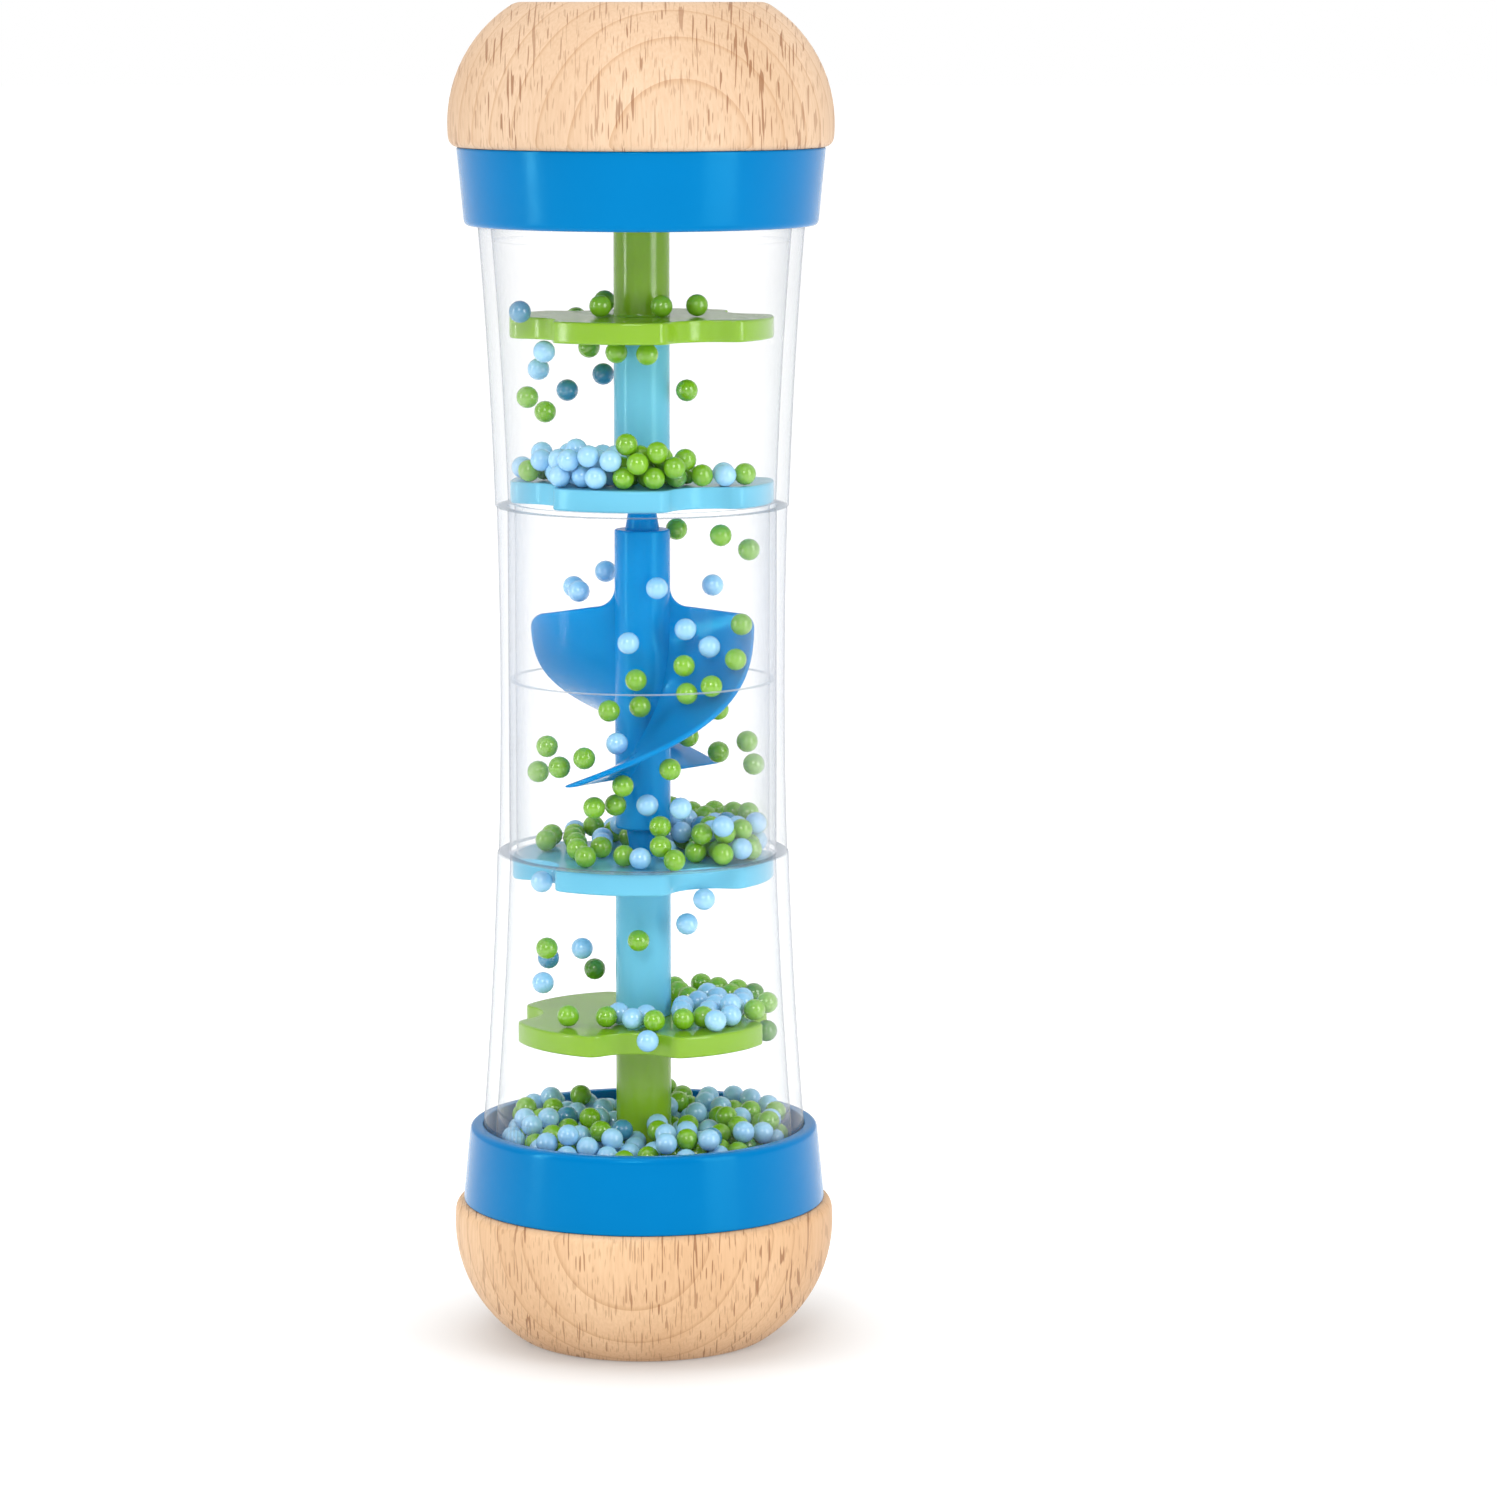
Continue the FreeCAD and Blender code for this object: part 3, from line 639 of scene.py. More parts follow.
@dataclass(frozen=True)
class BeadPlastic:
    """Polished bead plastic. Each bead has its own tone, which its mesh holds as an attribute; the highest
    tone marks the beads that are painted darker as painted shade.
    """

    name: str
    colour: Colour
    shade: Colour
    deep: Colour                          # painted shade: the few beads painted darker, as if in shadow
    tone: str = "bead_tone_and_painted_shade"

    def make(self) -> bpy.types.Material:
        """Makes the material."""
        bench = Bench(self.name)
        own = bench.node("ShaderNodeAttribute", attribute_name=self.tone).outputs["Fac"]
        cloud = bench.noise(bench.stretched((420, 420, 420)), detail=2.0)
        mixed = bench.math("ADD", bench.math("MULTIPLY", own, 0.7),
                           bench.math("MULTIPLY", cloud, 0.3))
        colour = bench.blend(mixed, self.colour, self.shade)
        # painted shade: beads whose tone is near 1 take the deep colour, as if they lay in shadow
        colour = bench.blend(bench.between(own, 0.85, 0.95), colour, self.deep)
        return bench.principled(
            Base_Color=colour, Roughness=bench.between(cloud, 0.3, 0.7, 0.19, 0.24),
            Normal=bench.bump(cloud, 0.05, 0.0001), Specular_IOR_Level=0.9)


@dataclass(frozen=True)
class ClearPlastic:
    """Clear plastic wall: see-through face on, tinted, hazy and mirror-like seen edge on."""

    name: str = "clear_acrylic"
    edge: Colour = (0.77, 0.785, 0.81)
    outline: Colour = (0.42, 0.44, 0.48)  # where the wall turns out of sight
    depth: float = 3.6                    # how closely the tint keeps to the edges
    mirror: float = 0.3                   # most that the wall mirrors its surroundings
    veil: float = 0.34                    # most that its haze hides
    haze: Colour = (0.88, 0.89, 0.92)
    mirrored: Colour = (0.92, 0.93, 0.95)

    def make(self) -> bpy.types.Material:
        """Makes the material: clear plastic under a mirror under a thin milky haze.

        With f from 0 face on to 1 edge on, the tint goes by f^depth, the mirror by f^4 and the
        haze by f^2.6, and past f = 0.8 the tint darkens to the outline's colour.
        """
        bench = Bench(self.name)
        slanted = bench.node("ShaderNodeLayerWeight")
        slanted.inputs["Blend"].default_value = 0.5
        slant = slanted.outputs["Facing"]
        cloud = bench.noise(bench.stretched((30, 30, 12)), detail=1.0)
        tint = bench.math("MULTIPLY", bench.math("POWER", slant, self.depth),
                          bench.between(cloud, 0.3, 0.7, 0.85, 1.0))
        tinted = bench.blend(tint, (1.0, 1.0, 1.0), self.edge)
        turning = bench.between(slant, 0.80, 0.98, 0.0, 0.8)
        through = bench.node("ShaderNodeBsdfTransparent")
        bench.feed(through.inputs["Color"], bench.blend(turning, tinted, self.outline))
        gloss = bench.node("ShaderNodeBsdfGlossy")
        bench.feed(gloss.inputs["Color"], self.mirrored)
        gloss.inputs["Roughness"].default_value = 0.04
        milk = bench.node("ShaderNodeBsdfDiffuse")
        bench.feed(milk.inputs["Color"], self.haze)
        steep = bench.math("MULTIPLY", self.mirror, bench.math("POWER", slant, 4.0))
        mirror = bench.layered(through, gloss, bench.math("ADD", 0.002, steep))
        hazed = bench.math("MULTIPLY", bench.math("POWER", slant, 2.6),
                           bench.between(cloud, 0.3, 0.7, self.veil * 0.6, self.veil))
        return bench.surface(bench.layered(mirror, milk, hazed).outputs[0])


@dataclass(frozen=True)
class CutEdge:
    """Cut end of a clear wall, seen through but dulled by its saw marks or its cement."""

    name: str
    through: Colour                       # colour of what is seen through it
    frost: float                          # share of it that is dull white
    dust: Colour = (0.86, 0.88, 0.90)

    def make(self) -> bpy.types.Material:
        """Makes the material."""
        bench = Bench(self.name)
        marks = bench.noise(bench.stretched((900, 900, 900)), detail=2.0)
        clear = bench.node("ShaderNodeBsdfTransparent")
        bench.feed(clear.inputs["Color"], self.through)
        dull = bench.node("ShaderNodeBsdfDiffuse")
        bench.feed(dull.inputs["Color"], self.dust)
        share = bench.between(marks, 0.3, 0.7, self.frost * 0.8, self.frost)
        return bench.surface(bench.layered(clear, dull, share).outputs[0])


@dataclass(frozen=True)
class Steel:
    """Zinc-plated screw steel with fine turning marks round the shank."""

    name: str = "plated_steel"
    colour: Colour = (0.56, 0.57, 0.58)
    shade: Colour = (0.42, 0.43, 0.45)    # in the turning marks

    def make(self) -> bpy.types.Material:
        """Makes the material."""
        bench = Bench(self.name)
        marks = bench.noise(bench.stretched((300, 300, 4200)), detail=2.0)
        colour = bench.blend(bench.between(marks, 0.3, 0.7), self.colour, self.shade)
        return bench.principled(Base_Color=colour, Metallic=1.0,
                                Roughness=bench.between(marks, 0.3, 0.7, 0.25, 0.42),
                                Normal=bench.bump(marks, 0.2, 0.00003))


# ---- Caps and collars ----
@dataclass
class Cap:
    """Turned beech cap: flat end, round dome, tenon in the collar and a pilot hole."""

    end: End
    material: bpy.types.Material
    belly_drop: float = 3.4
    dome_radius: float = 20.5
    seam_edge: float = 1.5
    end_edge: float = 0.9
    pole: float = 0.4                     # first ring of the rest face, round its middle point
    pilot_radius: float = 1.55
    pilot_depth: float = 14.1

    def profile(self) -> np.ndarray:
        """Outline from the rest face round the dome and the tenon to the foot of the pilot hole.

        The dome is the arc r = c + R cos(a), h = belly + R sin(a), with its widest ring at the
        belly.

        Returns:
            An array of radii and heights.
        """
        radius, top = node_radius("lower_cap"), node_span("lower_cap")[1]
        belly = SEAM - self.belly_drop
        centre = (radius - self.dome_radius, belly)
        low = math.asin(-belly / self.dome_radius)
        high = math.asin(self.belly_drop / self.dome_radius)
        dome = arc(centre, self.dome_radius, low, high)
        hole = FLOOR_TOP - self.pilot_depth
        runs = [
            straight((self.pole, 0), dome[0]), dome,
            straight(dome[-1], (TENON_RADIUS, SEAM)),
            straight((TENON_RADIUS, SEAM), (TENON_RADIUS, top)),
            straight((TENON_RADIUS, top), (self.pilot_radius, top)),
            straight((self.pilot_radius, top), (self.pilot_radius, hole)),
            straight((self.pilot_radius, hole), (POLE, hole)),
        ]
        return outline(runs, (self.end_edge, self.seam_edge, 0.1, 0.3, 0.2, 0.1), 22)

    def build(self) -> bpy.types.Object:
        """Makes the cap."""
        skin = Skin.from_grid(turned(self.profile(), bearings(224)), ring=False)
        if self.end is End.UPPER:
            skin = skin.turned_over()
        name = f"beech_cap_{self.end.value}"
        return add_piece(name, skin.outward().to_mesh(name), self.material,
                         self.end.node("cap"))


@dataclass
class Collar:
    """Moulded cup with a floor: the tube's foot above it, the cap's tenon below."""

    end: End
    material: bpy.types.Material
    seam_radius: float = 27.2
    rim_radius: float = 26.1
    rim_edge: float = 0.9
    seam_edge: float = 0.35
    glue: float = 0.05
    floor: float = 2.0
    hole_radius: float = 1.6

    def profile(self) -> np.ndarray:
        """Closed outline of the cup, from the screw hole out under the floor and back over it.

        Returns:
            An array of radii and heights.
        """
        socket = node_radius("lower_tube") + self.glue
        recess = TENON_RADIUS + self.glue
        under = FLOOR_TOP - self.floor
        corners = [(self.hole_radius, under), (recess, under), (recess, SEAM),
                   (self.seam_radius, SEAM), (self.rim_radius, RIM), (socket, RIM),
                   (socket, FLOOR_TOP), (self.hole_radius, FLOOR_TOP)]
        runs = [straight(a, b) for a, b in zip(corners, corners[1:] + corners[:1])]
        rounding = (0.3, 0.1, self.seam_edge, self.rim_edge, 0.3, 0.3, 0.1, 0.1)
        return outline(runs, rounding, 12)

    def build(self) -> bpy.types.Object:
        """Makes the collar."""
        skin = Skin.from_grid(turned(self.profile(), bearings(224)), ring=True)
        if self.end is End.UPPER:
            skin = skin.turned_over()
        name = f"collar_{self.end.value}"
        return add_piece(name, skin.outward().to_mesh(name), self.material,
                         self.end.node("collar"))


# ---- Clear tube ----
@dataclass
class Flare:
    """The tube's outer outline, an arc that is narrowest at mid length."""

    waist: float = 21.4
    rim: float = 24.15

    def radius(self, height: np.ndarray) -> np.ndarray:
        """Radius at a height: waist + A - sqrt(A^2 - (h - half)^2), where A is the arc's radius.

        Args:
            height: Heights in millimetres.

        Returns:
            The radius at each.
        """
        rise = self.rim - self.waist
        curve = ((HALF - RIM) ** 2 + rise ** 2) / (2 * rise)
        return self.waist + curve - np.sqrt(curve ** 2 - (np.asarray(height) - HALF) ** 2)

    def run(self, offset: float, low: float, high: float) -> np.ndarray:
        """Run along the flare between two heights.

        Args:
            offset: How far the run is moved outwards.
            low: Its first height.
            high: Its last height.

        Returns:
            An array of radii and heights.
        """
        heights = np.linspace(low, high, 97)
        return np.column_stack([self.radius(heights) + offset, heights])


FLARE = Flare()


@dataclass
class KeyRibs:
    """Row of short upright ribs inside the lower tube's foot."""

    count: int = 6
    pitch: float = 3.1                    # degrees between ribs
    bearing: float = 214.0                # middle of the row
    width: float = 0.35
    proud: float = 0.3
    length: float = 5.6

    def columns(self, plain: int) -> np.ndarray:
        """Bearings for a tube's columns, much closer beside the ribs than elsewhere.

        Args:
            plain: How many columns stand elsewhere.

        Returns:
            Bearings in radians.
        """
        reach = math.radians(self.pitch * (self.count + 1) / 2)
        middle = math.radians(self.bearing)
        fine = np.linspace(middle - reach, middle + reach, 12 * (self.count + 1) * 2)
        rest = middle + np.linspace(reach, 2 * math.pi - reach, plain + 1)[1:-1]
        return np.r_[fine, rest]

    def raised(self, grid: np.ndarray, around: np.ndarray, bore: float) -> np.ndarray:
        """Moves the foot's bore inwards where a rib stands.

        The move is proud exp(-(d / (width / 2))^4) for the distance d to the nearest rib, on
        points of the bore below the ribs' ends.

        Args:
            grid: The tube's points.
            around: Bearing of each column in radians.
            bore: Radius of the foot's bore.

        Returns:
            The points with the ribs raised.
        """
        steps = np.arange(self.count) - (self.count - 1) / 2
        places = np.radians(self.bearing + steps * self.pitch)
        gap = np.abs(np.angle(np.exp(1j * (around[:, None] - places)))).min(1) * bore
        share = np.exp(-(gap / (self.width / 2)) ** 4)
        radius = np.hypot(grid[..., 0], grid[..., 1])
        height = grid[..., 2] - FLOOR_TOP
        low_end = np.clip((self.length - height) / 0.25, 0, 1)
        inside = np.exp(-((radius - bore) / 0.25) ** 4)
        move = 1 - self.proud * share * low_end * inside / radius
        return grid * np.stack([move, move, np.ones_like(move)], axis=-1)


@dataclass
class TubeHalf:
    """Flared clear half: foot in the collar, ledge for the middle disc, thin spigot."""

    end: End
    material: bpy.types.Material
    cut: bpy.types.Material               # finish of the spigot's end
    ribs: KeyRibs
    spigot_radius: float = 19.95
    spigot_wall: float = 1.0

    def profile(self) -> np.ndarray:
        """Closed outline: up the flare, over the shoulder, up the spigot, down the bore.

        Returns:
            An array of radii and heights.
        """
        foot, top = node_span("lower_tube")
        rim = node_radius("lower_tube")
        bore = rim - TUBE_WALL
        shoulder = node_span("tube_sleeve")[0] - SHOULDER_GAP
        ledge = shoulder - LEDGE_DROP
        spigot_bore = self.spigot_radius - self.spigot_wall
        outer, inner = FLARE.run(0, RIM, shoulder), FLARE.run(-TUBE_WALL, RIM, ledge)[::-1]
        above_ribs = inner[:, 1] > foot + self.ribs.length
        plain, ribbed = inner[above_ribs], inner[~above_ribs]
        runs = [
            straight((bore, foot), (rim, foot)),
            straight((rim, foot), (rim, RIM)),
            outer,
            straight(outer[-1], (self.spigot_radius, shoulder)),
            straight((self.spigot_radius, shoulder), (self.spigot_radius, top)),
            straight((self.spigot_radius, top), (spigot_bore, top)),
            straight((spigot_bore, top), (spigot_bore, ledge)),
            straight((spigot_bore, ledge), inner[0]),
            plain,
            np.vstack([plain[-1:], ribbed]),
            straight((bore, RIM), (bore, foot)),
        ]
        rounding = (0.15, 0.0, 0.12, 0.15, 0.2, 0.2, 0.1, 0.1, 0.0, 0.0, 0.15)
        return outline(runs, rounding, 14)

    def build(self) -> bpy.types.Object:
        """Makes the tube half, with the key ribs on the lower one."""
        around = self.ribs.columns(200) if self.end is End.LOWER else bearings(200)
        grid = turned(self.profile(), around)
        if self.end is End.LOWER:
            grid = self.ribs.raised(grid, around, node_radius("lower_tube") - TUBE_WALL)
        skin = Skin.from_grid(grid, ring=True)
        if self.end is End.UPPER:
            skin = skin.turned_over()
        name = f"clear_tube_{self.end.value}"
        piece = add_piece(name, skin.outward().to_mesh(name), self.material,
                          self.end.node("tube"))
        tip = node_span("lower_tube")[1]
        finish_ends(piece, self.cut, (tip if self.end is End.LOWER else 2 * HALF - tip,))
        return piece


@dataclass
class Sleeve:
    """Waisted clear sleeve that joins the two tube halves."""

    material: bpy.types.Material
    seam: bpy.types.Material              # finish of its two cemented ends
    step: float = 0.2                     # how far its surface lies inside the flare
    bore: float = 20.0

    def build(self) -> bpy.types.Object:
        """Makes the sleeve: a straight bore inside the flare's own outline."""
        low, high = node_span("tube_sleeve")
        outer = FLARE.run(-self.step, low, high)
        runs = [straight((self.bore, low), outer[0]), outer,
                straight(outer[-1], (self.bore, high)),
                straight((self.bore, high), (self.bore, low))]
        profile = outline(runs, (0.15, 0.15, 0.1, 0.1), 18)
        skin = Skin.from_grid(turned(profile, bearings(200)), ring=True)
        name = "clear_sleeve"
        piece = add_piece(name, skin.outward().to_mesh(name), self.material, "tube_sleeve")
        finish_ends(piece, self.seam, (low, high))
        return piece


# ---- Spindle: discs and spiral ----
class DiscKind(Enum):
    """The two disc mouldings, by what their shafts do."""

    GREEN = "green"
    LIGHT_BLUE = "blue"


@dataclass
class Disc:
    """Scalloped disc and shaft in one moulding."""

    end: End
    kind: DiscKind
    material: bpy.types.Material
    bearing: float                        # direction of one lobe
    thickness: float = 3.2
    shaft: float = SHAFT_RADIUS
    bore: float = 2.65
    peg: float = 2.6
    peg_length: float = 5.0
    journal_bore: float = 2.05
    journal_depth: float = 5.1
    lobes: int = 4
    lobe_span: float = 55.0
    scallop: float = 4.3
    corner: float = 1.5
    edge: float = 0.4
    root: float = 0.5                     # fillet where the shaft meets the disc

    @property
    def node(self) -> str:
        """The frame's name for this disc."""
        return self.end.node(f"{self.kind.value}_disc")

    def radius(self) -> float:
        """Radius of the lobes, from the flare at the ledge less the tube's wall and a gap."""
        ledge = node_span("tube_sleeve")[0] - SHOULDER_GAP - LEDGE_DROP
        return float(FLARE.radius(ledge)) - TUBE_WALL - DISC_GAP

    def faces(self) -> tuple[float, float]:
        """Heights of the lower-end disc's two faces."""
        top = node_span(End.LOWER.node(f"{self.kind.value}_disc"))[1]
        return top - self.thickness, top

    def profile(self) -> np.ndarray:
        """Outline of the moulding before its scallops are cut.

        The green one is closed round its bore. The light blue one runs from the peg's tip to the
        foot of the journal's bore.

        Returns:
            An array of radii and heights.
        """
        low, high = self.faces()
        radius = self.radius()
        rim = [straight((self.shaft, low), (radius, low)), straight((radius, low), (radius, high))]
        if self.kind is DiscKind.GREEN:
            foot = FLOOR_TOP
            runs = [
                straight((self.bore, foot), (self.shaft, foot)),
                straight((self.shaft, foot), (self.shaft, low)), *rim,
                straight((radius, high), (self.bore, high)),
                straight((self.bore, high), (self.bore, foot)),
            ]
            return outline(runs, (0.15, self.root, self.edge, self.edge, 0.15, 0.1), 16)
        foot = node_span("lower_green_disc")[1]
        tip = foot - self.peg_length
        pit = high - self.journal_depth
        runs = [
            straight((POLE, tip), (self.peg, tip)),
            straight((self.peg, tip), (self.peg, foot)),
            straight((self.peg, foot), (self.shaft, foot)),
            straight((self.shaft, foot), (self.shaft, low)), *rim,
            straight((radius, high), (self.journal_bore, high)),
            straight((self.journal_bore, high), (self.journal_bore, pit)),
            straight((self.journal_bore, pit), (POLE, pit)),
        ]
        rounding = (0.4, 0.05, 0.15, self.root, self.edge, self.edge, 0.2, 0.1)
        return outline(runs, rounding, 16)

    def rim_radius(self, around: np.ndarray) -> np.ndarray:
        """Rim radius at each bearing: the lobes' circle with a round hollow between lobes.

        A point is d outside the lobes' circle and e inside the hollow's circle. The rim is where
        min(-c, max(d, e)) + sqrt(max(d + c, 0)^2 + max(e + c, 0)^2) = 0 for the corner radius c,
        found by halving along the bearing.

        Args:
            around: Bearings in radians.

        Returns:
            The rim's radius at each.
        """
        radius, step = self.radius(), 2 * math.pi / self.lobes
        half_gap = (step - math.radians(self.lobe_span)) / 2
        sag = self.scallop - radius * (1 - math.cos(half_gap))
        chord = radius * math.sin(half_gap)
        hollow = (chord ** 2 + sag ** 2) / (2 * sag)
        centre = radius - self.scallop + hollow
        off = (around - math.radians(self.bearing)) % step - step / 2
        low, high = np.full_like(off, radius - self.scallop - 1), np.full_like(off, radius + 0.01)
        for _ in range(40):
            middle = (low + high) / 2
            outside = middle - radius
            inside = hollow - np.hypot(middle * np.cos(off) - centre, middle * np.sin(off))
            rounded = np.minimum(-self.corner, np.maximum(outside, inside)) + np.hypot(
                np.maximum(outside + self.corner, 0), np.maximum(inside + self.corner, 0))
            low, high = np.where(rounded < 0, middle, low), np.where(rounded < 0, high, middle)
        return (low + high) / 2

    def build(self) -> bpy.types.Object:
        """Makes the disc: a turned body whose rim is drawn in to the scalloped outline.

        A point at radius r moves in by s (R - rim) with s = ((r - shaft) / (R - shaft))^2.
        """
        around = bearings(360)
        grid = turned(self.profile(), around)
        radius = np.hypot(grid[..., 0], grid[..., 1])
        lobe = self.radius()
        share = np.clip((radius - self.shaft) / (lobe - self.shaft), 0, 1) ** 2
        move = 1 - share * (lobe - self.rim_radius(around)) / np.maximum(radius, self.shaft)
        grid = grid * np.stack([move, move, np.ones_like(move)], axis=-1)
        skin = Skin.from_grid(grid, ring=self.kind is DiscKind.GREEN)
        if self.end is End.UPPER:
            skin = skin.turned_over()
        slot = "disc_green" if self.kind is DiscKind.GREEN else "disc_light_blue"
        name = f"{slot}_{self.end.value}"
        return add_piece(name, skin.outward().to_mesh(name), self.material, self.node)


@dataclass
class Spiral:
    """Free-spinning spiral: shaft, necked journals and two twisted blades."""

    material: bpy.types.Material
    shaft: float = SHAFT_RADIUS
    shaft_length: float = 44.8
    journal: float = 2.0
    neck: float = 2.55
    neck_length: float = 3.3
    blade_radius: float = 16.7
    thickness: float = 1.2
    twist: float = 131.0                  # degrees from the blades' top to their foot
    twist_power: float = 1.8              # above 1 the twist quickens downwards
    lean_place: float = 0.6               # share of the radius at which the lean is taken
    root_sunk: float = 0.6                # how deep a blade's root runs into the shaft
    top: float = 10.8                     # above mid height
    foot: float = 14.6                    # below mid height
    rise: float = 1.0                     # climb of the top edge from tip to root
    tip_round: float = 2.2
    root_round: float = 2.8
    edge: float = 0.45                    # depth over which a blade's edge thins to nothing

    def shaft_skin(self) -> Skin:
        """Turned shaft between its two cones and journals."""
        low, high = node_span("spiral")
        start, end = HALF - self.shaft_length / 2, HALF + self.shaft_length / 2
        corners = [
            (POLE, low), (self.journal, low), (self.journal, start - self.neck_length),
            (self.neck, start), (self.shaft, start), (self.shaft, end), (self.neck, end),
            (self.journal, end + self.neck_length), (self.journal, high), (POLE, high),
        ]
        runs = [straight(a, b) for a, b in zip(corners, corners[1:])]
        profile = outline(runs, (0.3, 0.4, 0.3, 0.35, 0.35, 0.3, 0.4, 0.3), 12)
        return Skin.from_grid(turned(profile, bearings(96)), ring=False)

    def blade_edge(self) -> np.ndarray:
        """Edge of one blade: crown on the shaft, root fillet, top edge, round tip, outer edge.

        Returns:
            An array of radii and heights, from the top down.
        """
        top, foot = HALF + self.top, HALF - self.foot
        crown = (self.shaft + self.root_round, top + self.root_round)
        tip_top = top - self.rise
        tip = (self.blade_radius - self.tip_round, tip_top - self.tip_round)
        fillet = arc(crown, self.root_round, math.pi, 1.5 * math.pi)
        inner = np.vstack([[(self.shaft - self.root_sunk, crown[1] + 0.4)], fillet])
        shoulder = straight(fillet[-1], (tip[0], tip_top))
        nose = arc(tip, self.tip_round, math.pi / 2, 0)
        outer = straight(nose[-1], (self.blade_radius, foot))
        return np.vstack([resampled(inner, 0, 0, 24), resampled(shoulder, 0, 0, 36)[1:],
                          resampled(nose, 0, 0, 16)[1:], resampled(outer, 0, 0, 70)[1:]])

    def blade_skin(self) -> Skin:
        """Both blades as one twisted sheet through the axis.

        At height h the sheet lies on the bearing b = -twist d^power, where d is the share of the
        blades' depth above h. A point s along it stands at s (cos b, sin b), plus or minus its
        half thickness t k sqrt(1 - (1 - e)^2) across, where e is its distance to the nearest
        edge, as a share of the edge's depth up to 1, and k widens the level section as it leans.

        Returns:
            The sheet's closed skin.
        """
        rim = self.blade_edge()
        top, foot = HALF + self.top, HALF - self.foot
        across = np.sin(np.linspace(-math.pi / 2, math.pi / 2, 121))
        along, height = rim[:, :1] * across, np.broadcast_to(rim[:, 1:], (len(rim), len(across)))
        depth = np.clip((top - height) / (top - foot), 0, None)
        bearing = -math.radians(self.twist) * depth ** self.twist_power
        rate = math.radians(self.twist) * self.twist_power / (top - foot)
        lean = rate * depth ** (self.twist_power - 1) * self.blade_radius * self.lean_place
        ceiling = np.interp(np.abs(along), rim[:, 0], rim[:, 1])
        nearest = np.minimum.reduce([rim[:, :1] - np.abs(along), ceiling - height, height - foot])
        closing = 1 - np.clip(nearest / self.edge, 0, 1)
        half = self.thickness / 2 * np.hypot(1, lean) * np.sqrt(1 - closing ** 2)
        sides = []
        for sign in (1, -1):
            x = along * np.cos(bearing) - sign * half * np.sin(bearing)
            y = along * np.sin(bearing) + sign * half * np.cos(bearing)
            sides.append(np.stack([x, y, height], axis=-1))
        grid = np.concatenate([sides[0], sides[1][:, -2:0:-1]], axis=1)
        return Skin.from_grid(grid, ring=False)

    def build(self) -> bpy.types.Object:
        """Makes the spiral from the shaft and the sheet, with the sheet's edges closed."""
        skin = self.shaft_skin().outward().joined(self.blade_skin().outward())
        name = "twin_blade_spiral"
        mesh = skin.to_mesh(name)
        welded = bmesh.new()
        welded.from_mesh(mesh)
        bmesh.ops.remove_doubles(welded, verts=welded.verts, dist=1e-7)
        welded.to_mesh(mesh)
        welded.free()
        return add_piece(name, mesh, self.material, "spiral")


# ---- Beads ----
USUAL_PAINTED_SHADE_SHARE = 0.06                      # share of beads painted darker as painted shade in most groups
PAINTED_SHADE_SHARE = {                               # and in the groups where it isn't usual
    "upper_falling_blue_beads": 0.6, "upper_falling_green_beads": 0.25,
    "lower_falling_blue_beads": 0.2, "lower_falling_green_beads": 0.2,
    "spiral_green_beads": 0.0, "spiral_blue_beads": 0.0, "middle_falling_green_beads": 0.0,
}


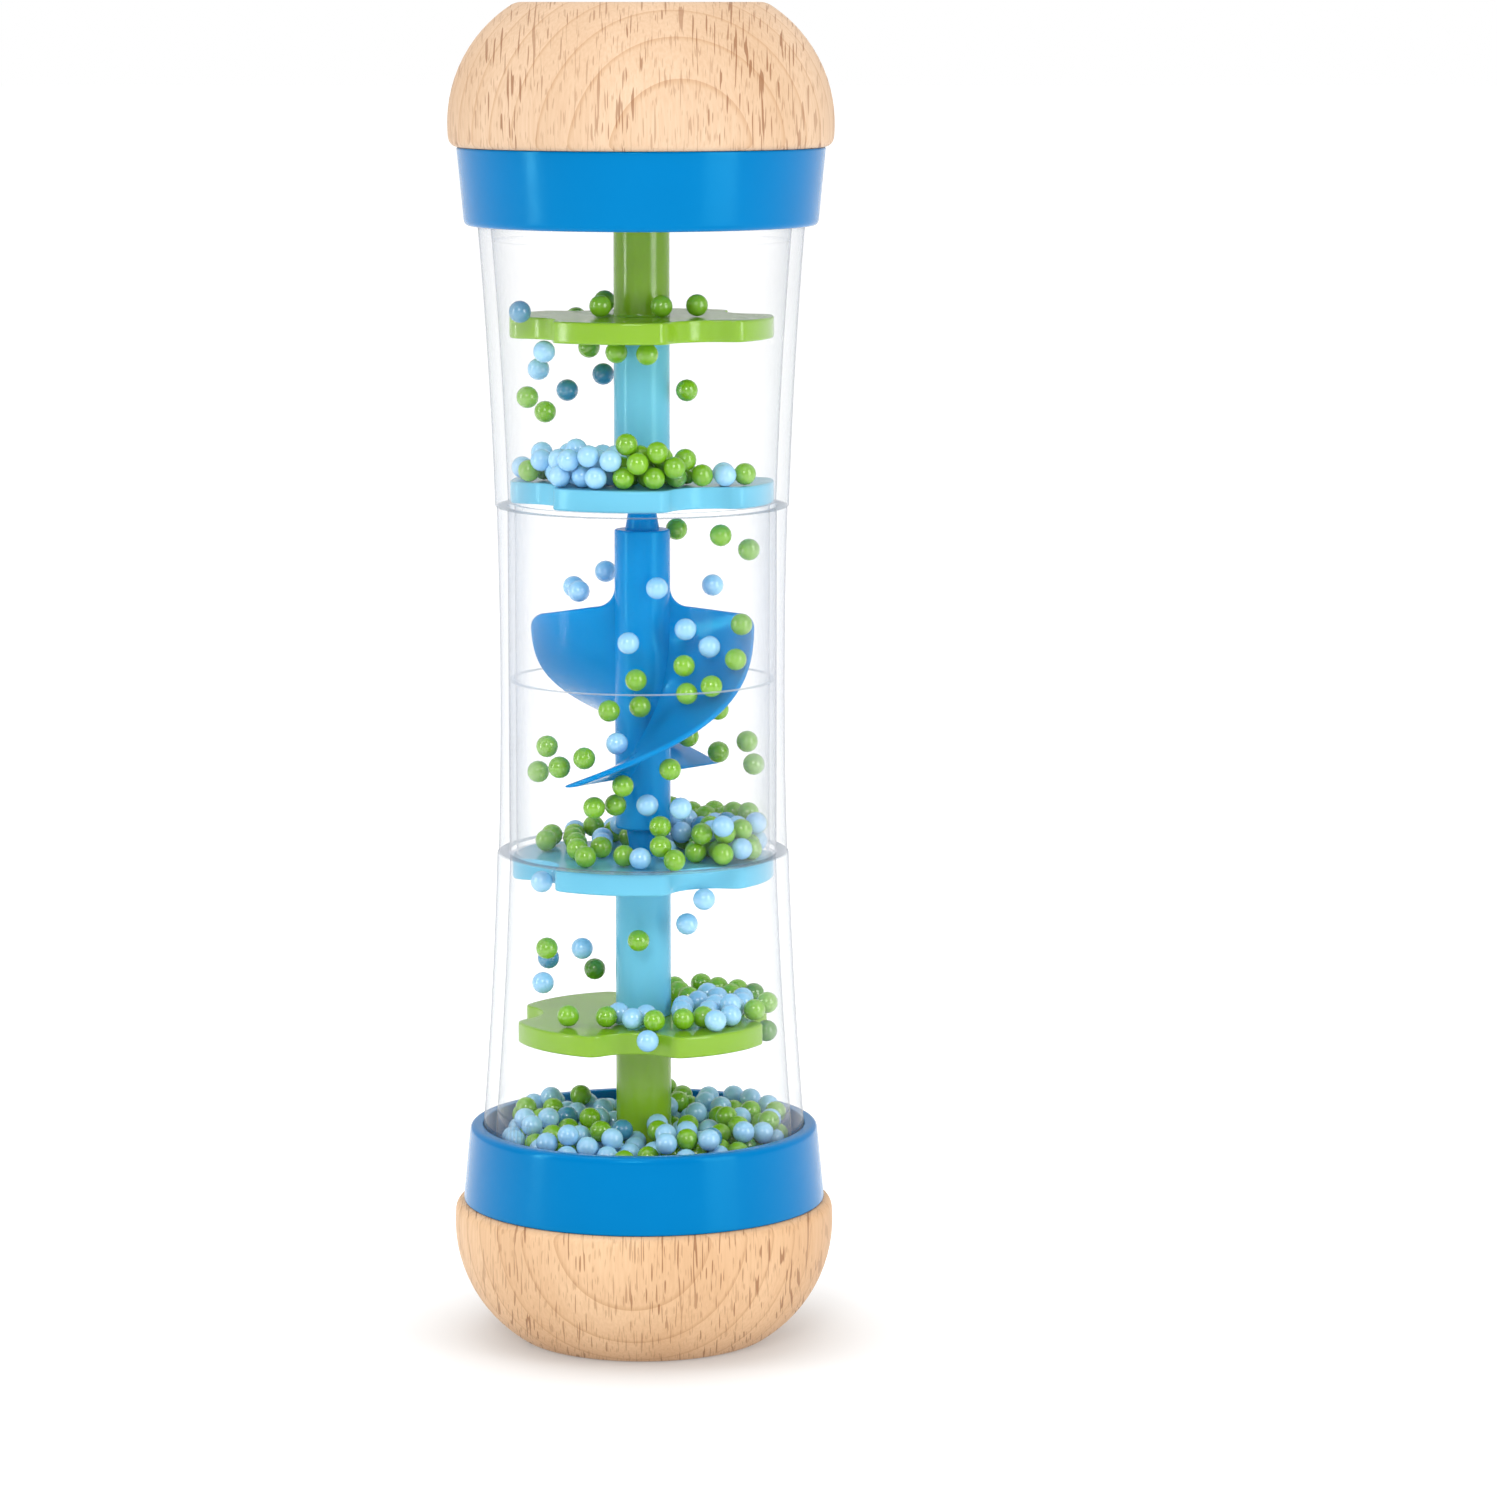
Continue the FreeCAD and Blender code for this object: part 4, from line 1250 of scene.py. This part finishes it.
@dataclass
class Beads:
    """Every loose bead of one chamber and colour."""

    node: str
    material: bpy.types.Material
    slot: str
    seed: int
    painted_shade_share: float                     # share of the beads painted darker as painted shade
    radius: float = 1.65
    cuts: int = 4                         # faces along each of a bead's twelve seams
    sliver: float = 0.05                  # share of the usual facet's area that a sliver is below

    def centres(self) -> np.ndarray:
        """Middle of each bead of the node: one radius under each facet of its solid.

        A bead's facets follow one another in the mesh, so a jump between the spots under two
        facets starts the next bead. Slivers at a bead's poles face nowhere and are left out.

        Returns:
            One row of xyz for each bead, in millimetres.
        """
        facets = frame["nodes"][self.node].data.polygons
        middle, facing = np.empty(3 * len(facets)), np.empty(3 * len(facets))
        area = np.empty(len(facets))
        facets.foreach_get("center", middle)
        facets.foreach_get("normal", facing)
        facets.foreach_get("area", area)
        spots = (middle * METRE - self.radius * facing).reshape(-1, 3)
        spots = spots[area > self.sliver * np.median(area)]
        jumps = np.linalg.norm(np.diff(spots, axis=0), axis=1) > self.radius
        starts = np.r_[0, np.flatnonzero(jumps) + 1]
        counts = np.diff(np.r_[starts, len(spots)])
        return np.add.reduceat(spots, starts, axis=0) / counts[:, None]

    def ball(self) -> Skin:
        """One bead: a cube's faces, cut by even angles and pushed out to the radius.

        A point (tan u, tan v, 1) for u and v from -45 to 45 degrees is scaled to the radius, and
        the six sides are turns of it.

        Returns:
            The bead's skin, round the origin.
        """
        swing = np.tan(np.linspace(-math.pi / 4, math.pi / 4, self.cuts + 1))
        u, v = np.meshgrid(swing, swing, indexing="ij")
        face = np.stack([u, v, np.ones_like(u)], axis=-1)
        turns = [face, face[..., (1, 2, 0)], face[..., (2, 0, 1)]]
        sides = np.stack([side * sign for side in turns for sign in (1, -1)])
        sides = sides / np.linalg.norm(sides, axis=-1, keepdims=True) * self.radius
        index = np.arange(sides[..., 0].size).reshape(sides.shape[:3])
        quads = np.stack([index[:, :-1, :-1], index[:, 1:, :-1], index[:, 1:, 1:],
                          index[:, :-1, 1:]], axis=-1)
        quads[1::2] = quads[1::2][..., ::-1]
        points, same = np.unique(np.round(sides.reshape(-1, 3), 6), axis=0, return_inverse=True)
        return Skin(points, same.ravel()[quads.reshape(-1, 4)], np.empty((0, 3), int)).outward()

    def build(self) -> bpy.types.Object:
        """Makes the group: one ball at each centre, with a tone of its own, and a share of the beads marked
        for painted shade.
        """
        ball, centres = self.ball(), self.centres()
        shifts = np.arange(len(centres))[:, None, None] * len(ball.points)
        skin = Skin((centres[:, None] + ball.points).reshape(-1, 3),
                    (ball.quads + shifts).reshape(-1, 4), np.empty((0, 3), int))
        name = f"loose_{self.node}"
        mesh = skin.to_mesh(name)
        chance = np.random.default_rng(self.seed)
        tone = 0.8 * chance.random(len(centres))
        # painted shade: a share of the beads get the highest tone, which paints them darker as if in shadow
        tone[chance.random(len(centres)) < self.painted_shade_share] = 1.0
        own = mesh.attributes.new("bead_tone_and_painted_shade", "FLOAT", "POINT")
        own.data.foreach_set("value", np.repeat(tone, len(ball.points)))
        return add_piece(name, mesh, self.material, self.node)


# ---- Studio ----
@dataclass
class Softbox:
    """Soft rectangular light. Its brightness is in units of the white surroundings."""

    name: str
    place: tuple[float, float, float]     # metres
    width: float
    height: float
    brightness: float
    aim: tuple[float, float, float] = (0.0, 0.0, 0.1)

    def build(self) -> None:
        """Makes the light, turned to its aim. Its power is pi times area times brightness."""
        lamp = bpy.data.lights.new(self.name, "AREA")
        lamp.shape, lamp.size, lamp.size_y = "RECTANGLE", self.width, self.height
        lamp.energy = math.pi * self.width * self.height * self.brightness
        holder = bpy.data.objects.new(self.name, lamp)
        holder.location = self.place
        away = holder.location - Vector(self.aim)
        holder.rotation_euler = away.to_track_quat("Z", "Y").to_euler()
        holder.visible_camera = False
        bpy.context.scene.collection.objects.link(holder)


@dataclass
class Studio:
    """White surroundings, pale floor, soft lights and the camera."""

    floor_radius: float = 12.0            # metres
    camera_place: tuple[float, float, float] = (0.0158, -0.7894, 0.2001)
    camera_pitch: float = 7.98            # degrees below level
    lens: float = 128.2                   # millimetres, as is the sensor
    sensor: float = 36.0
    dim: float = 0.25                     # light from in front, where white is 1
    back: float = 0.4                     # what is added behind, and between which values of y
    back_climb: tuple[float, float] = (-0.3, 0.8)
    above: float = 0.5                    # what is added above, and between which values of z
    above_climb: tuple[float, float] = (0.1, 1.0)
    floor_tones: tuple[Colour, Colour] = ((0.54, 0.54, 0.54), (0.52, 0.52, 0.52))
    floor_glow_with_painted_shadow: tuple[float, float] = (0.22, 0.68)    # its painted glow, dimmed under the stick as a painted shadow and full beyond
    painted_shadow_reach: tuple[float, float] = (0.012, 0.062)  # metres from the axis between the two
    boxes: tuple[Softbox, ...] = (
        Softbox("left_strip", (-0.80, -0.28, 0.30), 0.12, 0.75, 9.0),
        Softbox("right_box", (0.64, -0.50, 0.30), 0.34, 0.75, 4.6),
        Softbox("front_box", (-0.14, -1.15, 0.66), 0.34, 0.34, 11.0),
        Softbox("top_box", (-0.10, -0.20, 1.05), 0.7, 0.7, 2.0),
    )

    def floor(self) -> None:
        """Makes the round pale floor, a little darker just under the stick, where its glow is dimmed as a
        painted shadow.

        Its rings of points stand at the floor's radius times t^3, for t up to 1.
        """
        rings = self.floor_radius * np.linspace(0.02, 1, 40) ** 3
        around = bearings(96)
        x, y = rings[:, None] * np.cos(around), rings[:, None] * np.sin(around)
        grid = np.stack([x, y, np.zeros_like(x)], axis=-1) * METRE
        skin = Skin.from_grid(grid, ring=False)
        open_skin = Skin(skin.points[:-1], skin.quads, skin.triangles[:len(around)])
        name = "studio_floor"
        mesh = open_skin.to_mesh(name)
        bench = Bench("pale_floor")
        cloud = bench.noise(bench.stretched((3, 3, 3)), detail=2.0)
        colour = bench.blend(cloud, *self.floor_tones)
        away = bench.node("ShaderNodeVectorMath", operation="LENGTH")
        bench.feed(away.inputs[0], bench.place)
        # painted shadow: the floor's glow is dimmer near the stick's axis and brighter farther out
        glow = bench.between(away.outputs["Value"], *self.painted_shadow_reach, *self.floor_glow_with_painted_shadow)
        mesh.materials.append(bench.principled(
            Base_Color=colour, Roughness=0.9, Specular_IOR_Level=0.1,
            Emission_Color=(1.0, 1.0, 1.0), Emission_Strength=glow))
        sheet = bpy.data.objects.new(name, mesh)
        bpy.context.scene.collection.objects.link(sheet)

    def surroundings(self) -> None:
        """White backdrop all round, whose light is strong behind and above and weak in front.

        The light towards a direction (x, y, z) is dim + back s(y) + above s(z), where s climbs
        smoothly from 0 to 1. What the lens sees of the surroundings is plain white.
        """
        world = bpy.data.worlds.new("white_surroundings")
        world.use_nodes = True
        nodes = Nodes(world.node_tree)
        way = nodes.node("ShaderNodeSeparateXYZ")
        nodes.feed(way.inputs[0], nodes.node("ShaderNodeTexCoord").outputs["Generated"])
        behind = nodes.between(way.outputs["Y"], *self.back_climb, 0.0, self.back)
        over = nodes.between(way.outputs["Z"], *self.above_climb, 0.0, self.above)
        light = nodes.math("ADD", nodes.math("ADD", behind, over), self.dim)
        strength = nodes.node("ShaderNodeMix")
        seen = nodes.node("ShaderNodeLightPath").outputs["Is Camera Ray"]
        nodes.feed(strength.inputs[0], seen)
        nodes.feed(strength.inputs[2], light)
        nodes.feed(strength.inputs[3], 1.0)
        sky = nodes.node("ShaderNodeBackground")
        nodes.feed(sky.inputs["Strength"], strength.outputs[0])
        nodes.feed(sky.inputs["Color"], (1.0, 1.0, 1.0))
        nodes.feed(nodes.node("ShaderNodeOutputWorld").inputs[0], sky.outputs[0])
        bpy.context.scene.world = world

    def camera(self) -> None:
        """Long lens, a little above the stick and tilted down to it."""
        lens = bpy.data.cameras.new("studio_camera")
        lens.lens, lens.sensor_width = self.lens, self.sensor
        lens.clip_start, lens.clip_end = 0.01, 60.0
        eye = bpy.data.objects.new("studio_camera", lens)
        eye.location = self.camera_place
        eye.rotation_euler = (math.radians(90 - self.camera_pitch), 0, 0)
        bpy.context.scene.collection.objects.link(eye)
        bpy.context.scene.camera = eye

    def build(self) -> None:
        """Sets up the whole studio."""
        self.surroundings()
        self.floor()
        for box in self.boxes:
            box.build()
        self.camera()
        scene = bpy.context.scene
        scene.view_settings.view_transform = "Standard"
        scene.cycles.transparent_max_bounces = 32
        log.info("studio: floor, surroundings, %d lights and camera", len(self.boxes))


def dress_screws() -> None:
    """Gives the frame's own cap screws their steel."""
    steel = Steel().make()
    for end in End:
        frame["nodes"][end.node("cap_screw")].material_slots[0].material = steel
        log.info("%s keeps its shape, in steel", end.node("cap_screw"))


def main() -> None:
    """Builds the studio and every piece."""
    logging.basicConfig(level=logging.INFO, format="%(message)s", stream=sys.stdout)
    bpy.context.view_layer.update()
    Studio().build()

    collar_blue = Moulded("collar_blue_plastic", (0.0, 0.165, 0.44), (0.0, 0.152, 0.41),
                          (0.1, 0.9, 1.0), shine=0.28).make()
    green = Moulded("disc_green_plastic", (0.22, 0.43, 0.012), (0.195, 0.39, 0.010),
                    shine=0.5).make()
    light_blue = Moulded("disc_light_blue_plastic", (0.15, 0.50, 0.69), (0.13, 0.47, 0.66),
                         (0.5, 1.0, 1.0)).make()
    spiral_blue = Moulded("spiral_blue_plastic", (0.0, 0.225, 0.57), (0.0, 0.205, 0.53),
                          (0.12, 0.9, 1.0)).make()
    # the third colour of each bead plastic is painted shade, for the beads painted darker as if in shadow
    bead_green = BeadPlastic("bead_green_plastic", (0.22, 0.50, 0.012), (0.15, 0.38, 0.010),
                             (0.075, 0.26, 0.014)).make()
    bead_blue = BeadPlastic("bead_light_blue_plastic", (0.36, 0.66, 0.90), (0.26, 0.56, 0.85),
                            (0.05, 0.27, 0.45)).make()
    clear = ClearPlastic().make()
    cut = CutEdge("clear_cut_edge", (0.80, 0.83, 0.86), 0.6).make()
    cement = CutEdge("clear_cement_line", (0.57, 0.60, 0.64), 0.1).make()
    beech = {
        End.LOWER: Beech("beech_lower", (0.013, -0.004, -0.024), (0.76, 0.51, 0.305),
                         (0.66, 0.41, 0.225)).make(),
        End.UPPER: Beech("beech_upper", (-0.006, 0.002, -0.047), (0.70, 0.505, 0.345),
                         (0.61, 0.415, 0.262)).make(),
    }
    disc_bearing = {(End.LOWER, DiscKind.GREEN): -48.0}

    for end in End:
        Cap(end, beech[end]).build()
        Collar(end, collar_blue).build()
        TubeHalf(end, clear, cut, KeyRibs()).build()
        for kind in DiscKind:
            material = green if kind is DiscKind.GREEN else light_blue
            Disc(end, kind, material, disc_bearing.get((end, kind), -105.0)).build()
    Sleeve(clear, cement).build()
    Spiral(spiral_blue).build()
    groups = sorted(node for node in frame["nodes"] if node.endswith("_beads"))
    for seed, node in enumerate(groups):
        blue = "_blue_" in node
        Beads(node, bead_blue if blue else bead_green,
              "bead_light_blue" if blue else "bead_green", seed,
              PAINTED_SHADE_SHARE.get(node, USUAL_PAINTED_SHADE_SHARE)).build()
    dress_screws()


if __name__ == "__main__":
    main()
